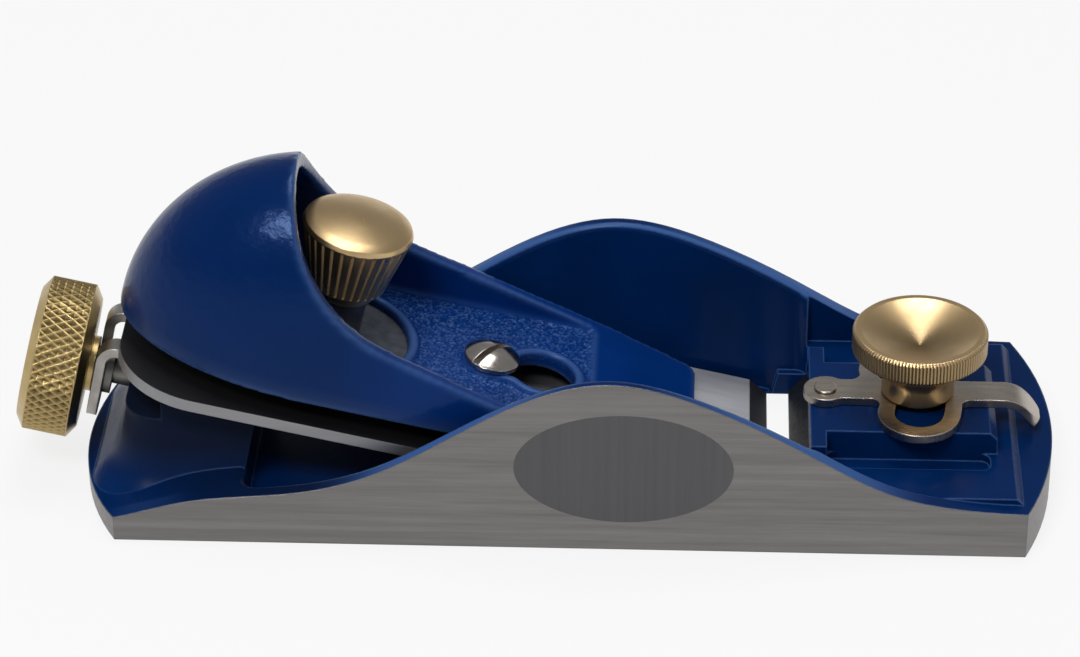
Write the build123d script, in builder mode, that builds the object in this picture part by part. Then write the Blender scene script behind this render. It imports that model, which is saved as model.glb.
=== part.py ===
"""Low-angle block plane: body, sliding toe plate, cutter, lever cap and depth adjuster.

Millimetres. The sole lies on z = 0, +X points to the toe and +Z up. The origin is the middle
of the sole's length and width. The pieces on the bed are drawn in the bed's own frame: u runs
down the bed to the mouth, v across, n square to the bed, from the cutting edge at rest.
"""

import math
import os

from build123d import *

# Body
BODY_LENGTH = 155.6
BODY_WIDTH = 50.0
HEEL_BULGE = 7.0  # how far the rounded heel stands behind its corners
TOE_BULGE = 5.2
HEEL_RIM = 3.2  # height of the rim at the heel
TOE_RIM = 8.1
HUMP_X = 6.5
HUMP_HEIGHT = 30.75
REAR_FLANK = [  # x and height of the flank's top edge, from the heel to the hump
    (-69.7, 4.5),
    (-60.0, 7.3),
    (-41.0, 9.7),
    (-30.4, 12.9),
    (-19.9, 18.8),
    (-9.5, 25.3),
]
FRONT_FLANK = [  # and from the hump to the toe
    (22.3, 26.9),
    (38.9, 18.1),
    (52.4, 10.9),
    (61.1, 8.9),
]
FLOOR = 4.0  # thickness of the floor between the flanks
FLANK_FOOT = 3.4  # thickness of each flank at the floor
CHANNEL_DRAFT = 3.0  # degrees
CHANNEL_CORNER = 2.0
RIM_ROUND = 1.2  # upper edge of the walls, on the inside
DIMPLE_LENGTH = 34.3  # oval finger hollow in each flank
DIMPLE_HEIGHT = 20.0
DIMPLE_DEPTH = 1.2
DIMPLE_X = 9.6
DIMPLE_Z = 15.2

# Heel block behind the well
WELL_REAR = -50.0
HEEL_BLOCK_FRONT = -42.0  # before its front is cut square to the bed
HEEL_BLOCK = [  # height, rear end, width and corner of its sections
    (2.0, -76.0, 42.0, 10.0),
    (4.6, -74.8, 39.0, 9.0),
    (6.4, -73.0, 35.4, 8.0),
    (9.5, -71.4, 32.6, 7.0),
    (13.0, -70.5, 31.2, 6.5),
    (16.5, -70.0, 30.5, 6.0),
]

# Bed and cutter
BED_ANGLE = 13.0
EDGE_X = 32.35  # cutting edge at rest
EDGE_Z = 0.2
MOUTH_REAR = 29.9  # front lip of the bed
RAMP_LENGTH = 28.0
CUTTER_ROOM = 1.6  # from the cutter to each flank
CUTTER_THICKNESS = 2.0
CUTTER_LENGTH = 106.0
CUTTER_CORNER = 13.0
BEVEL_ANGLE = 30.0
SCREW_SLOT_WIDTH = 11.0
SCREW_SLOT_FRONT = -38.0
SCREW_SLOT_REAR = -64.0
DRIVE_SLOT_LENGTH = 9.0
DRIVE_SLOT_PITCH = 4.2
DRIVE_SLOT_COUNT = 3
SLIDING_GAP = 0.05  # between flat faces that slide on each other
RUNNING_FIT = 0.08  # radial room of a turning pin or thread

# Depth adjuster
SPINDLE_DROP = 8.2  # spindle axis below the bed
SPINDLE_DIAMETER = 5.0
SPINDLE_LENGTH = 33.0
WHEEL_DIAMETER = 25.0
WHEEL_WIDTH = 9.7
WHEEL_CENTRE = -115.25
WHEEL_CHAMFER = 1.3  # along the axis
WHEEL_SLOPE = 2.0  # and across it
HUB_DIAMETER = 9.0
HUB_LENGTH = 1.1
SLIDE_THICKNESS = 1.6
SLIDE_WIDTH = 12.0
SLIDE_FRONT = -78.0
FLANGE_WIDTH = 14.0
FLANGE_DEPTH = 16.5
FORK_WIDTH = 7.4  # opening between the two arms of the slide
FORK_FRONT = -102.5
SHOULDER_U = -100.4  # where the slide narrows to enter its groove
SLIDE_BEND = 3.2  # outer radius of the bend
COLLAR_DIAMETER = 8.5
COLLAR_LENGTH = 1.3
DRIVE_PIN_DIAMETER = 2.0
DRIVE_PIN_U = -85.0
POST_FRONT = -82.6
POST_REAR = -98.5
POST_WIDTH = 30.5

# Lever cap
CAP_FRONT = -13.0
CAP_FRONT_WIDTH = 36.5
CAP_FRONT_CORNER = 2.0
CAP_FRONT_HEIGHT = 1.4
HOOD_CENTRE_U = -76.3
HOOD_CENTRE_N = 6.6
HOOD_RADIUS = 31.25
HOOD_WIDTH = 38.0
HOOD_WALL = 2.6
HOOD_MOUTH_RADIUS = 27.6
HOOD_MOUTH_U = -64.4  # where the round mouth of the hood runs into the falling wing
HOOD_MOUTH_N = 16.0
CAP_UNDERSIDE = 3.0  # above the cutter
CAP_FLOOR = 2.3
CAP_FOOT_LENGTH = 9.0
CAP_FOOT_SLOPE = 11.0
PANEL_FRONT = -31.0
LIP_WIDTH = 1.4
LIP_HEIGHT = 0.9
CAP_SCREW_U = -47.6
CAP_SCREW_DIAMETER = 5.0
CAP_SCREW_HEAD = 9.0
CAP_SCREW_HEAD_EDGE = 0.8
CAP_SCREW_DOME = 1.5
CAP_SCREW_SLOT = 1.1
CAP_SCREW_SLOT_TURN = 52.0  # degrees
CAP_SCREW_DEPTH = 8.0  # engaged length in the boss
BOSS_WIDTH = 18.0
BOSS_LENGTH = 20.0
KEYHOLE_WIDTH = 6.0
KEYHOLE_EYE = 10.6
KEYHOLE_EYE_U = -39.0

# Lock knob, screw and nut
LOCK_U = -73.2
LOCK_HOLE = 24.4
LOCK_SCREW_DIAMETER = 8.0
LOCK_SCREW_ROOM = 0.3  # lets the cap rock about the screw
LOCK_KNOB_TOP = 29.6
LOCK_KNOB_DIAMETER = 17.8
LOCK_KNOB_FOOT = 12.6
LOCK_KNOB_HEIGHT = 11.6
LOCK_KNOB_CROWN = 0.9
LOCK_KNOB_DOME = 0.35  # slope at the edge of its top
LOCK_KNOB_BOSS = 9.6
LOCK_KNOB_BOSS_HEIGHT = 1.8
LOCK_NUT_THICKNESS = 2.6
LOCK_NUT_FLANGE = 1.0
LOCK_NUT_FLANGE_WIDTH = 1.5
PRESS_DEPTH = 5.0

# Toe deck, toe plate, lever and front knob
DECK_REAR = 38.85
DECK_FRONT = 72.0
DECK_HEIGHT = 9.2
DECK_EDGE = 2.5  # from the deck to each flank's outer face
DECK_SLOPE = 1.0
RIB_WIDTH = 20.0
RIB_HEIGHT = 13.1
RIB_FRONT = 68.5
RIB_SLOPE = 1.2
PAN_REAR = 41.4
PAN_FRONT = 67.3
PAN_WIDTH = 4.5
PAN_FLOOR = 7.8
PAN_CORNER = 1.5
TOE_PLATE_REAR = 35.95
TOE_PLATE_LENGTH = 32.0
TOE_PLATE_EDGE = 5.0  # from the toe plate to each flank's outer face
TOE_PLATE_THICKNESS = 6.0
TOE_PLATE_LAND = 0.9
TOE_PLATE_LEAN = 40.0  # degrees from upright
TOE_PLATE_TRAVEL = 1.5
TOE_PLATE_ROOM = 0.3
STUD_X = 56.05
STUD_DIAMETER = 5.0
STUD_END_ROOM = 1.1  # under the end of the stud
STUD_BOSS = 7.2
LEVER_PIVOT_X = 41.35
LEVER_THICKNESS = 1.4
LEVER_SWING = 25.0  # degrees to each side
LEVER_SLOT_ROOM = 0.3
LEVER_RING = 2.6  # width of the metal round the slot
LEVER_TAB = 7.0
LEVER_NECK = 4.9
LEVER_TAIL_WIDTH = 5.4
LEVER_TAIL_BEND = 28.2  # from the pivot to where the tail bends down
LEVER_TAIL_DROP = 4.1
LEVER_TAIL_TIP = 6.2
LEVER_TAIL_LEAN = 45.0  # degrees below level at the tip
LEVER_TIP_CORNER = 1.8
LEVER_FILLET = 1.6  # where the neck and the tail meet the ring
LEVER_PIN_DIAMETER = 3.0
LEVER_PIN_HEAD = 3.6
LEVER_PIN_HEAD_HEIGHT = 0.3
LEVER_PIN_DEPTH = 5.5
FLOAT = 0.1  # under and over the lever
KNOB_DIAMETER = 21.5
KNOB_RIM = 4.0
KNOB_TOP = 26.1
KNOB_DISH = 3.0
KNOB_STEM = 11.6
KNOB_STEM_STRAIGHT = 2.6
KNOB_EDGE = 0.5
KNOB_FLARE = 0.9  # slope of the stem where it meets the rim

half_length = BODY_LENGTH / 2
half_width = BODY_WIDTH / 2
channel_width = BODY_WIDTH - 2 * FLANK_FOOT
cutter_width = channel_width - 2 * CUTTER_ROOM
deck_width = BODY_WIDTH - 2 * DECK_EDGE
toe_plate_width = BODY_WIDTH - 2 * TOE_PLATE_EDGE
heel_corner = -half_length + HEEL_BULGE
toe_corner = half_length - TOE_BULGE
tall = 3 * HUMP_HEIGHT  # clears every piece

lean = math.radians(BED_ANGLE)
down_bed = (math.cos(lean), 0, -math.sin(lean))
off_bed = (math.sin(lean), 0, math.cos(lean))
bed = Plane(origin=(EDGE_X, 0, EDGE_Z), x_dir=down_bed, z_dir=off_bed)
bed_side = Plane(origin=bed.origin, x_dir=down_bed, z_dir=(0, -1, 0))


def across(u, n):
    """Plane square to the bed's length: x across the plane, y off the bed."""
    return Plane(origin=bed.from_local_coords((u, 0, n)), x_dir=(0, 1, 0), z_dir=down_bed)


def upright(u):
    """Side plane whose local y axis is a turning axis square to the bed at u."""
    return Plane(origin=bed.from_local_coords((u, 0, 0)), x_dir=down_bed, z_dir=(0, -1, 0))


def bed_height(x):
    """Height of the bed above the sole at x."""
    return EDGE_Z + (EDGE_X - x) * math.tan(lean)


cutter_top = SLIDING_GAP + CUTTER_THICKNESS
cap_bottom = cutter_top + CAP_UNDERSIDE
panel = cap_bottom + CAP_FLOOR
lip_top = panel + LIP_HEIGHT
ramp_rear = MOUTH_REAR - RAMP_LENGTH
ceiling = TOE_PLATE_THICKNESS + TOE_PLATE_ROOM
toe_plate_front = TOE_PLATE_REAR + TOE_PLATE_LENGTH
toe_pocket_front = toe_plate_front + TOE_PLATE_TRAVEL + 2 * TOE_PLATE_ROOM
lever_bottom = RIB_HEIGHT + FLOAT
lever_top = lever_bottom + LEVER_THICKNESS
slide_top = -SLIDING_GAP
slide_bottom = slide_top - SLIDE_THICKNESS
wheel_front = WHEEL_CENTRE + WHEEL_WIDTH / 2
flange_rear = wheel_front + HUB_LENGTH + SLIDING_GAP
flange_front = flange_rear + SLIDE_THICKNESS
collar_rear = flange_front + SLIDING_GAP

# Heel block, hollowed smoothly into the heel, with its front square to the bed
with BuildPart() as heel_block:
    for height, rear, width, corner in HEEL_BLOCK:
        with BuildSketch(Plane.XY.offset(height)):
            with Locations(((rear + HEEL_BLOCK_FRONT) / 2, 0)):
                RectangleRounded(HEEL_BLOCK_FRONT - rear, width, corner)
    loft()
    with BuildSketch(bed):
        with Locations((POST_FRONT, 0)):
            Rectangle(BODY_LENGTH, BODY_WIDTH, align=(Align.MAX, Align.CENTER))
    extrude(amount=tall, both=True, mode=Mode.INTERSECT)

# Body casting: plan outline cut to the flank's outline
with BuildPart() as body_casting:
    with BuildSketch():
        with BuildLine():
            Line((heel_corner, -half_width), (toe_corner, -half_width))
            ThreePointArc((toe_corner, -half_width), (half_length, 0), (toe_corner, half_width))
            Line((toe_corner, half_width), (heel_corner, half_width))
            ThreePointArc((heel_corner, half_width), (-half_length, 0), (heel_corner, -half_width))
        make_face()
    extrude(amount=tall)
    with BuildSketch(Plane.XZ):
        with BuildLine():
            flank = Spline(
                (-half_length, HEEL_RIM),
                *REAR_FLANK,
                (HUMP_X, HUMP_HEIGHT),
                *FRONT_FLANK,
                (half_length, TOE_RIM),
            )
            Polyline(flank @ 1, (half_length, 0), (-half_length, 0), flank @ 0)
        make_face()
    extrude(amount=BODY_WIDTH, both=True, mode=Mode.INTERSECT)

    # Well between the flanks, from the heel block to the toe deck
    with BuildSketch(Plane.XY.offset(FLOOR)):
        with Locations(((WELL_REAR + DECK_REAR) / 2, 0)):
            RectangleRounded(DECK_REAR - WELL_REAR, channel_width, CHANNEL_CORNER)
    extrude(amount=tall, taper=-CHANNEL_DRAFT, mode=Mode.SUBTRACT)
    curved = edges().filter_by(GeomType.BSPLINE)
    curved = curved.filter_by(lambda edge: abs(edge.center().Y) < half_width - RIM_ROUND)
    fillet(curved.filter_by_position(Axis.X, WELL_REAR - RIM_ROUND, DECK_REAR + RIM_ROUND), RIM_ROUND)

    add(heel_block.part)

    # Bed ramp behind the mouth, boss for the cap screw and post for the adjuster
    with BuildSketch(Plane.XZ):
        Polygon(
            (MOUTH_REAR, 0),
            (MOUTH_REAR, bed_height(MOUTH_REAR)),
            (ramp_rear, bed_height(ramp_rear)),
            (ramp_rear, 0),
            align=None,
        )
    extrude(amount=channel_width / 2, both=True)
    with BuildSketch(bed):
        Rectangle(RAMP_LENGTH, channel_width, align=(Align.MAX, Align.CENTER))
        Rectangle(EDGE_Z / math.sin(lean), channel_width, align=(Align.MIN, Align.CENTER))
    extrude(amount=CAP_UNDERSIDE + CUTTER_THICKNESS, mode=Mode.SUBTRACT)
    boss_centre = bed.from_local_coords((CAP_SCREW_U, 0, 0)).X
    boss_rear = boss_centre - BOSS_LENGTH / 2
    with BuildSketch(Plane.XZ):
        Polygon(
            (ramp_rear, FLOOR / 2),
            (ramp_rear, bed_height(ramp_rear)),
            (boss_rear, bed_height(boss_rear)),
            (boss_rear, FLOOR / 2),
            align=None,
        )
    extrude(amount=BOSS_WIDTH / 2, both=True)
    post_front = bed.from_local_coords((POST_FRONT, 0, 0)).X
    post_rear = bed.from_local_coords((POST_REAR, 0, 0)).X
    post_foot = post_front - (bed_height(post_front) - FLOOR / 2) * math.tan(lean)
    with BuildSketch(Plane.XZ):
        Polygon(
            (post_foot, FLOOR / 2),
            (post_front, bed_height(post_front)),
            (post_rear, bed_height(post_rear)),
            (post_rear, FLOOR / 2),
            align=None,
        )
    extrude(amount=POST_WIDTH / 2, both=True)

    # Toe deck, with its rib, its two sunken pans and the pocket of the toe plate below
    with BuildSketch(Plane.XY.offset(DECK_HEIGHT)):
        with Locations((DECK_REAR, 0)):
            Rectangle(BODY_LENGTH, deck_width, align=(Align.MIN, Align.CENTER))
    extrude(amount=tall, mode=Mode.SUBTRACT)
    for front, height, slope, width in (
        (DECK_FRONT, DECK_HEIGHT, DECK_SLOPE, deck_width),
        (RIB_FRONT, RIB_HEIGHT, RIB_SLOPE, RIB_WIDTH),
    ):
        with BuildSketch(Plane.XZ):
            Polygon(
                (DECK_REAR, ceiling),
                (front, ceiling),
                (front, height - slope),
                (front - slope, height),
                (DECK_REAR, height),
                align=None,
            )
        extrude(amount=width / 2, both=True)
    with BuildSketch(Plane.XY.offset(ceiling)):
        with Locations((DECK_REAR, 0)):
            Rectangle(PAN_REAR - DECK_REAR, RIB_WIDTH + 2 * PAN_WIDTH, align=(Align.MIN, Align.CENTER))
    extrude(amount=RIB_HEIGHT - ceiling)
    pan_offset = RIB_WIDTH / 2 + PAN_WIDTH / 2
    with BuildSketch(Plane.XY.offset(PAN_FLOOR)):
        with Locations(((PAN_REAR + PAN_FRONT) / 2, pan_offset), ((PAN_REAR + PAN_FRONT) / 2, -pan_offset)):
            RectangleRounded(PAN_FRONT - PAN_REAR, PAN_WIDTH, PAN_CORNER)
    extrude(amount=tall, mode=Mode.SUBTRACT)
    with BuildSketch():
        with Locations((MOUTH_REAR, 0)):
            Rectangle(
                toe_pocket_front - MOUTH_REAR,
                toe_plate_width + 2 * TOE_PLATE_ROOM,
                align=(Align.MIN, Align.CENTER),
            )
    extrude(amount=ceiling, mode=Mode.SUBTRACT)
    with BuildSketch(Plane.XY.offset(ceiling)):
        with Locations((STUD_X, 0)):
            SlotCenterToCenter(2 * TOE_PLATE_TRAVEL, STUD_BOSS + 2 * TOE_PLATE_ROOM)
    extrude(amount=tall, mode=Mode.SUBTRACT)

    # Groove for the slide, and the tapped holes
    with BuildSketch(bed.offset(slide_bottom - SLIDING_GAP)):
        with Locations(((POST_FRONT + POST_REAR) / 2, 0)):
            Rectangle(2 * (POST_FRONT - POST_REAR), SLIDE_WIDTH + 2 * RUNNING_FIT)
    extrude(amount=-slide_bottom + CUTTER_THICKNESS, mode=Mode.SUBTRACT)
    with BuildSketch(across(POST_REAR, -SPINDLE_DROP)):
        Circle(SPINDLE_DIAMETER / 2 + RUNNING_FIT)
    extrude(amount=2 * (POST_FRONT - POST_REAR), both=True, mode=Mode.SUBTRACT)
    with BuildSketch(bed):
        with Locations((CAP_SCREW_U, 0)):
            Circle(CAP_SCREW_DIAMETER / 2)
    extrude(amount=-CAP_SCREW_DEPTH, mode=Mode.SUBTRACT)
    with BuildSketch(Plane.XY.offset(RIB_HEIGHT)):
        with Locations((LEVER_PIVOT_X, 0)):
            Circle(LEVER_PIN_DIAMETER / 2)
    extrude(amount=-LEVER_PIN_DEPTH, mode=Mode.SUBTRACT)

    # Oval finger hollow in each flank, dished by a ring surface that just dips into it
    long_radius = DIMPLE_LENGTH**2 / (8 * DIMPLE_DEPTH)
    short_radius = DIMPLE_HEIGHT**2 / (8 * DIMPLE_DEPTH)
    for side in (-1, 1):
        turn_axis = side * (half_width - DIMPLE_DEPTH + long_radius)
        with BuildSketch(Plane(origin=(DIMPLE_X, 0, DIMPLE_Z), x_dir=(0, 1, 0), z_dir=(1, 0, 0))):
            with Locations((side * (half_width - DIMPLE_DEPTH + short_radius), 0)):
                Circle(short_radius)
        revolve(
            axis=Axis((DIMPLE_X, turn_axis, 0), (0, 0, 1)),
            revolution_arc=360,
            mode=Mode.SUBTRACT,
        )

# Toe plate: its sole, the leaning edge at the mouth and the boss for the knob's stud
with BuildPart() as toe_plate:
    lean_run = (TOE_PLATE_THICKNESS - TOE_PLATE_LAND) * math.tan(math.radians(TOE_PLATE_LEAN))
    with BuildSketch(Plane.XZ):
        Polygon(
            (TOE_PLATE_REAR, 0),
            (toe_plate_front, 0),
            (toe_plate_front, TOE_PLATE_THICKNESS),
            (TOE_PLATE_REAR + lean_run, TOE_PLATE_THICKNESS),
            (TOE_PLATE_REAR, TOE_PLATE_LAND),
            align=None,
        )
    extrude(amount=toe_plate_width / 2, both=True)
    with BuildSketch(Plane.XY.offset(TOE_PLATE_THICKNESS)):
        with Locations((STUD_X, 0)):
            Circle(STUD_BOSS / 2)
    extrude(amount=lever_top - FLOAT - TOE_PLATE_THICKNESS)
    with Locations((STUD_X, 0, lever_top - FLOAT)):
        Hole(STUD_DIAMETER / 2 + RUNNING_FIT, depth=lever_top - FLOAT - TOE_PLATE_LAND)

# Mouth lever: a ring whose slot winds outwards, so a swing slides the toe plate
pivot_reach = STUD_X - LEVER_PIVOT_X


def slot_point(degrees):
    """Point of the lever's slot, whose distance from the pivot falls evenly with the angle."""
    reach = pivot_reach - TOE_PLATE_TRAVEL * degrees / LEVER_SWING
    angle = math.radians(degrees)
    return (LEVER_PIVOT_X + reach * math.cos(angle), reach * math.sin(angle))


with BuildPart() as lever_tail:
    tail_x = LEVER_PIVOT_X + LEVER_TAIL_BEND
    tip_x = tail_x + LEVER_TAIL_TIP
    tip_z = lever_top - LEVER_TAIL_DROP
    tip_along = math.cos(math.radians(LEVER_TAIL_LEAN))
    tip_down = math.sin(math.radians(LEVER_TAIL_LEAN))
    with BuildSketch(Plane.XZ):
        with BuildLine():
            top = Spline(
                (tail_x, lever_top),
                (tip_x, tip_z),
                tangents=[(1, 0), (tip_along, -tip_down)],
            )
            bottom = Spline(
                (tail_x, lever_bottom),
                (tip_x - LEVER_THICKNESS * tip_down, tip_z - LEVER_THICKNESS * tip_along),
                tangents=[(1, 0), (tip_along, -tip_down)],
            )
            Line(top @ 0, bottom @ 0)
            Line(top @ 1, bottom @ 1)
        make_face()
    extrude(amount=LEVER_TAIL_WIDTH / 2, both=True)
    with BuildSketch():
        with Locations((tip_x, 0)):
            Rectangle(2 * LEVER_TAIL_TIP, LEVER_TAIL_WIDTH, align=(Align.MAX, Align.CENTER))
        fillet(vertices().group_by(Axis.X)[-1], LEVER_TIP_CORNER)
    extrude(amount=tall, mode=Mode.INTERSECT)

with BuildPart() as mouth_lever:
    slot_width = STUD_BOSS + 2 * LEVER_SLOT_ROOM
    with BuildLine(mode=Mode.PRIVATE) as slot_line:
        ThreePointArc(slot_point(-LEVER_SWING), slot_point(0), slot_point(LEVER_SWING))
    with BuildSketch(Plane.XY.offset(lever_bottom)):
        SlotArc(slot_line.wire(), slot_width + 2 * LEVER_RING)
        with Locations((LEVER_PIVOT_X, 0)):
            Circle(LEVER_TAB / 2)
            Rectangle(pivot_reach, LEVER_NECK, align=(Align.MIN, Align.CENTER))
            Rectangle(LEVER_TAIL_BEND, LEVER_TAIL_WIDTH, align=(Align.MIN, Align.CENTER))
        corners = vertices().filter_by(lambda corner: abs(corner.Y) < LEVER_TAB / 2 and corner.X < tail_x - 1)
        fillet(corners, LEVER_FILLET)
        SlotArc(slot_line.wire(), slot_width, mode=Mode.SUBTRACT)
        with Locations((LEVER_PIVOT_X, 0)):
            Circle(LEVER_PIN_DIAMETER / 2 + RUNNING_FIT, mode=Mode.SUBTRACT)
    extrude(amount=LEVER_THICKNESS)
    add(lever_tail.part)

with BuildPart() as mouth_lever_pin:
    with BuildSketch(Plane.XY.offset(RIB_HEIGHT - LEVER_PIN_DEPTH)):
        with Locations((LEVER_PIVOT_X, 0)):
            Circle(LEVER_PIN_DIAMETER / 2)
    extrude(amount=LEVER_PIN_DEPTH + LEVER_THICKNESS + 2 * FLOAT)
    with BuildSketch(Plane.XY.offset(lever_top + FLOAT)):
        with Locations((LEVER_PIVOT_X, 0)):
            Circle(LEVER_PIN_HEAD / 2)
    extrude(amount=LEVER_PIN_HEAD_HEIGHT)
    fillet(edges().group_by(Axis.Z)[-1], LEVER_PIN_HEAD_HEIGHT / 2)

# Front knob: flared stem, rim and dished top, with its threaded stud
stem_bottom = lever_top + FLOAT
rim_bottom = KNOB_TOP - KNOB_RIM
knob_side = Plane(origin=(STUD_X, 0, 0), x_dir=(1, 0, 0), z_dir=(0, -1, 0))
with BuildPart() as front_knob:
    with BuildSketch(knob_side):
        with BuildLine():
            stem = KNOB_STEM / 2
            rim = KNOB_DIAMETER / 2
            Polyline((0, stem_bottom), (stem, stem_bottom), (stem, stem_bottom + KNOB_STEM_STRAIGHT))
            flare = Spline(
                (stem, stem_bottom + KNOB_STEM_STRAIGHT),
                (rim - KNOB_EDGE, rim_bottom),
                tangents=[(0, 1), (1, KNOB_FLARE)],
            )
            Polyline(
                flare @ 1,
                (rim, rim_bottom + KNOB_EDGE),
                (rim, KNOB_TOP - KNOB_EDGE),
                (rim - KNOB_EDGE, KNOB_TOP),
                (rim - 3 * KNOB_EDGE, KNOB_TOP),
                (0, KNOB_TOP - KNOB_DISH),
                (0, stem_bottom),
            )
        make_face()
    revolve(axis=Axis((STUD_X, 0, 0), (0, 0, 1)))
    with BuildSketch(Plane.XY.offset(stem_bottom)):
        with Locations((STUD_X, 0)):
            Circle(STUD_DIAMETER / 2)
    extrude(amount=PRESS_DEPTH, mode=Mode.SUBTRACT)

with BuildPart() as front_knob_stud:
    with BuildSketch(Plane.XY.offset(stem_bottom + PRESS_DEPTH)):
        with Locations((STUD_X, 0)):
            Circle(STUD_DIAMETER / 2)
    extrude(amount=-(stem_bottom + PRESS_DEPTH - TOE_PLATE_LAND - STUD_END_ROOM))
    chamfer(edges().group_by(Axis.Z)[0], KNOB_EDGE)

# Cutter: rounded rear end, bevel on its upper side, slot for the cap screw and cross slots
with BuildPart() as cutter:
    bevel_run = CUTTER_THICKNESS / math.tan(math.radians(BEVEL_ANGLE))
    with BuildSketch(bed.offset(SLIDING_GAP)):
        Rectangle(CUTTER_LENGTH, cutter_width, align=(Align.MAX, Align.CENTER))
        fillet(vertices().group_by(Axis.X)[0], CUTTER_CORNER)
        with Locations(((SCREW_SLOT_FRONT + SCREW_SLOT_REAR) / 2, 0)):
            SlotOverall(SCREW_SLOT_FRONT - SCREW_SLOT_REAR, SCREW_SLOT_WIDTH, mode=Mode.SUBTRACT)
        with Locations((DRIVE_PIN_U, 0)):
            with GridLocations(DRIVE_SLOT_PITCH, 1, DRIVE_SLOT_COUNT, 1):
                Rectangle(
                    DRIVE_PIN_DIAMETER + 2 * RUNNING_FIT, DRIVE_SLOT_LENGTH, mode=Mode.SUBTRACT
                )
    extrude(amount=CUTTER_THICKNESS)
    with BuildSketch(bed_side):
        Polygon(
            (0, SLIDING_GAP),
            (-bevel_run, cutter_top),
            (0, cutter_top),
            align=None,
        )
    extrude(amount=cutter_width, both=True, mode=Mode.SUBTRACT)

# Slide: flat under the cutter, with a flange bent down in front of the wheel
with BuildPart() as adjuster_slide:
    with BuildSketch(bed.offset(slide_bottom)):
        with Locations((SLIDE_FRONT, 0)):
            Rectangle(SLIDE_FRONT - flange_rear, SLIDE_WIDTH, align=(Align.MAX, Align.CENTER))
        with Locations((SHOULDER_U, 0)):
            Rectangle(SHOULDER_U - flange_rear, FLANGE_WIDTH, align=(Align.MAX, Align.CENTER))
    extrude(amount=SLIDE_THICKNESS)
    with BuildSketch(across(flange_rear, slide_top)):
        with BuildLine():
            half_flange = FLANGE_WIDTH / 2
            Polyline(
                (-half_flange, -FLANGE_DEPTH + half_flange),
                (-half_flange, 0),
                (half_flange, 0),
                (half_flange, -FLANGE_DEPTH + half_flange),
            )
            ThreePointArc(
                (half_flange, -FLANGE_DEPTH + half_flange),
                (0, -FLANGE_DEPTH),
                (-half_flange, -FLANGE_DEPTH + half_flange),
            )
        make_face()
    extrude(amount=SLIDE_THICKNESS)
    fillet(edges().filter_by(Axis.Y).sort_by(Axis.X)[1], SLIDE_BEND - SLIDE_THICKNESS)
    fillet(edges().filter_by(Axis.Y).sort_by(Axis.X)[0], SLIDE_BEND)
    with BuildSketch(across(flange_rear, -SPINDLE_DROP)):
        Circle(FORK_WIDTH / 2)
        Rectangle(FORK_WIDTH, 2 * SPINDLE_DROP, align=(Align.CENTER, Align.MIN))
    extrude(amount=FORK_FRONT - flange_rear, mode=Mode.SUBTRACT)
    with BuildSketch(bed.offset(slide_bottom)):
        with Locations((DRIVE_PIN_U, 0)):
            Circle(DRIVE_PIN_DIAMETER / 2)
    extrude(amount=SLIDE_THICKNESS, mode=Mode.SUBTRACT)

with BuildPart() as cutter_drive_pin:
    with BuildSketch(bed.offset(slide_bottom)):
        with Locations((DRIVE_PIN_U, 0)):
            Circle(DRIVE_PIN_DIAMETER / 2)
    extrude(amount=cutter_top - slide_bottom - SLIDING_GAP)

# Depth wheel, its threaded spindle and the collar that keeps the slide against the hub
wheel_side = Plane(
    origin=bed.from_local_coords((0, 0, -SPINDLE_DROP)), x_dir=down_bed, z_dir=(0, -1, 0)
)
with BuildPart() as depth_wheel:
    wheel_rear = WHEEL_CENTRE - WHEEL_WIDTH / 2
    wheel_radius = WHEEL_DIAMETER / 2
    hub_front = wheel_front + HUB_LENGTH
    with BuildSketch(wheel_side):
        Polygon(
            (wheel_rear, 0),
            (wheel_rear, wheel_radius - WHEEL_SLOPE),
            (wheel_rear + WHEEL_CHAMFER, wheel_radius),
            (wheel_front - WHEEL_CHAMFER, wheel_radius),
            (wheel_front, wheel_radius - WHEEL_SLOPE),
            (wheel_front, HUB_DIAMETER / 2),
            (hub_front, HUB_DIAMETER / 2),
            (hub_front, SPINDLE_DIAMETER / 2),
            (WHEEL_CENTRE, SPINDLE_DIAMETER / 2),
            (WHEEL_CENTRE, 0),
            align=None,
        )
    revolve(axis=Axis(wheel_side.origin, down_bed))

with BuildPart() as adjuster_spindle:
    with BuildSketch(across(WHEEL_CENTRE, -SPINDLE_DROP)):
        Circle(SPINDLE_DIAMETER / 2)
    extrude(amount=SPINDLE_LENGTH)

with BuildPart() as spindle_collar:
    with BuildSketch(across(collar_rear, -SPINDLE_DROP)):
        Circle(COLLAR_DIAMETER / 2)
        Circle(SPINDLE_DIAMETER / 2, mode=Mode.SUBTRACT)
    extrude(amount=COLLAR_LENGTH)

# Room under the hood and between the wings of the lever cap
wing_slope = (HOOD_MOUTH_N - cutter_top - CAP_FRONT_HEIGHT) / (CAP_FRONT - HOOD_MOUTH_U)
wing_angle = math.atan(wing_slope)
mouth_centre_u = HOOD_MOUTH_U + HOOD_MOUTH_RADIUS * math.sin(wing_angle)
mouth_centre_n = HOOD_MOUTH_N + HOOD_MOUTH_RADIUS * math.cos(wing_angle)
hood_turn = Axis(bed.from_local_coords((HOOD_CENTRE_U, 0, HOOD_CENTRE_N)), (0, 1, 0))
wing_length = CAP_FRONT - HOOD_CENTRE_U


def plan_wing(inset):
    """Plan outline of the cap, narrowing to the front, drawn in from the outside by inset."""
    rear = HOOD_CENTRE_U - 2 * HOOD_RADIUS
    wide = HOOD_WIDTH / 2 + HOOD_WALL - inset
    narrow = CAP_FRONT_WIDTH / 2 - inset
    return [(rear, -wide), (HOOD_CENTRE_U, -wide), (CAP_FRONT, -narrow),
            (CAP_FRONT, narrow), (HOOD_CENTRE_U, wide), (rear, wide)]


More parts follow.
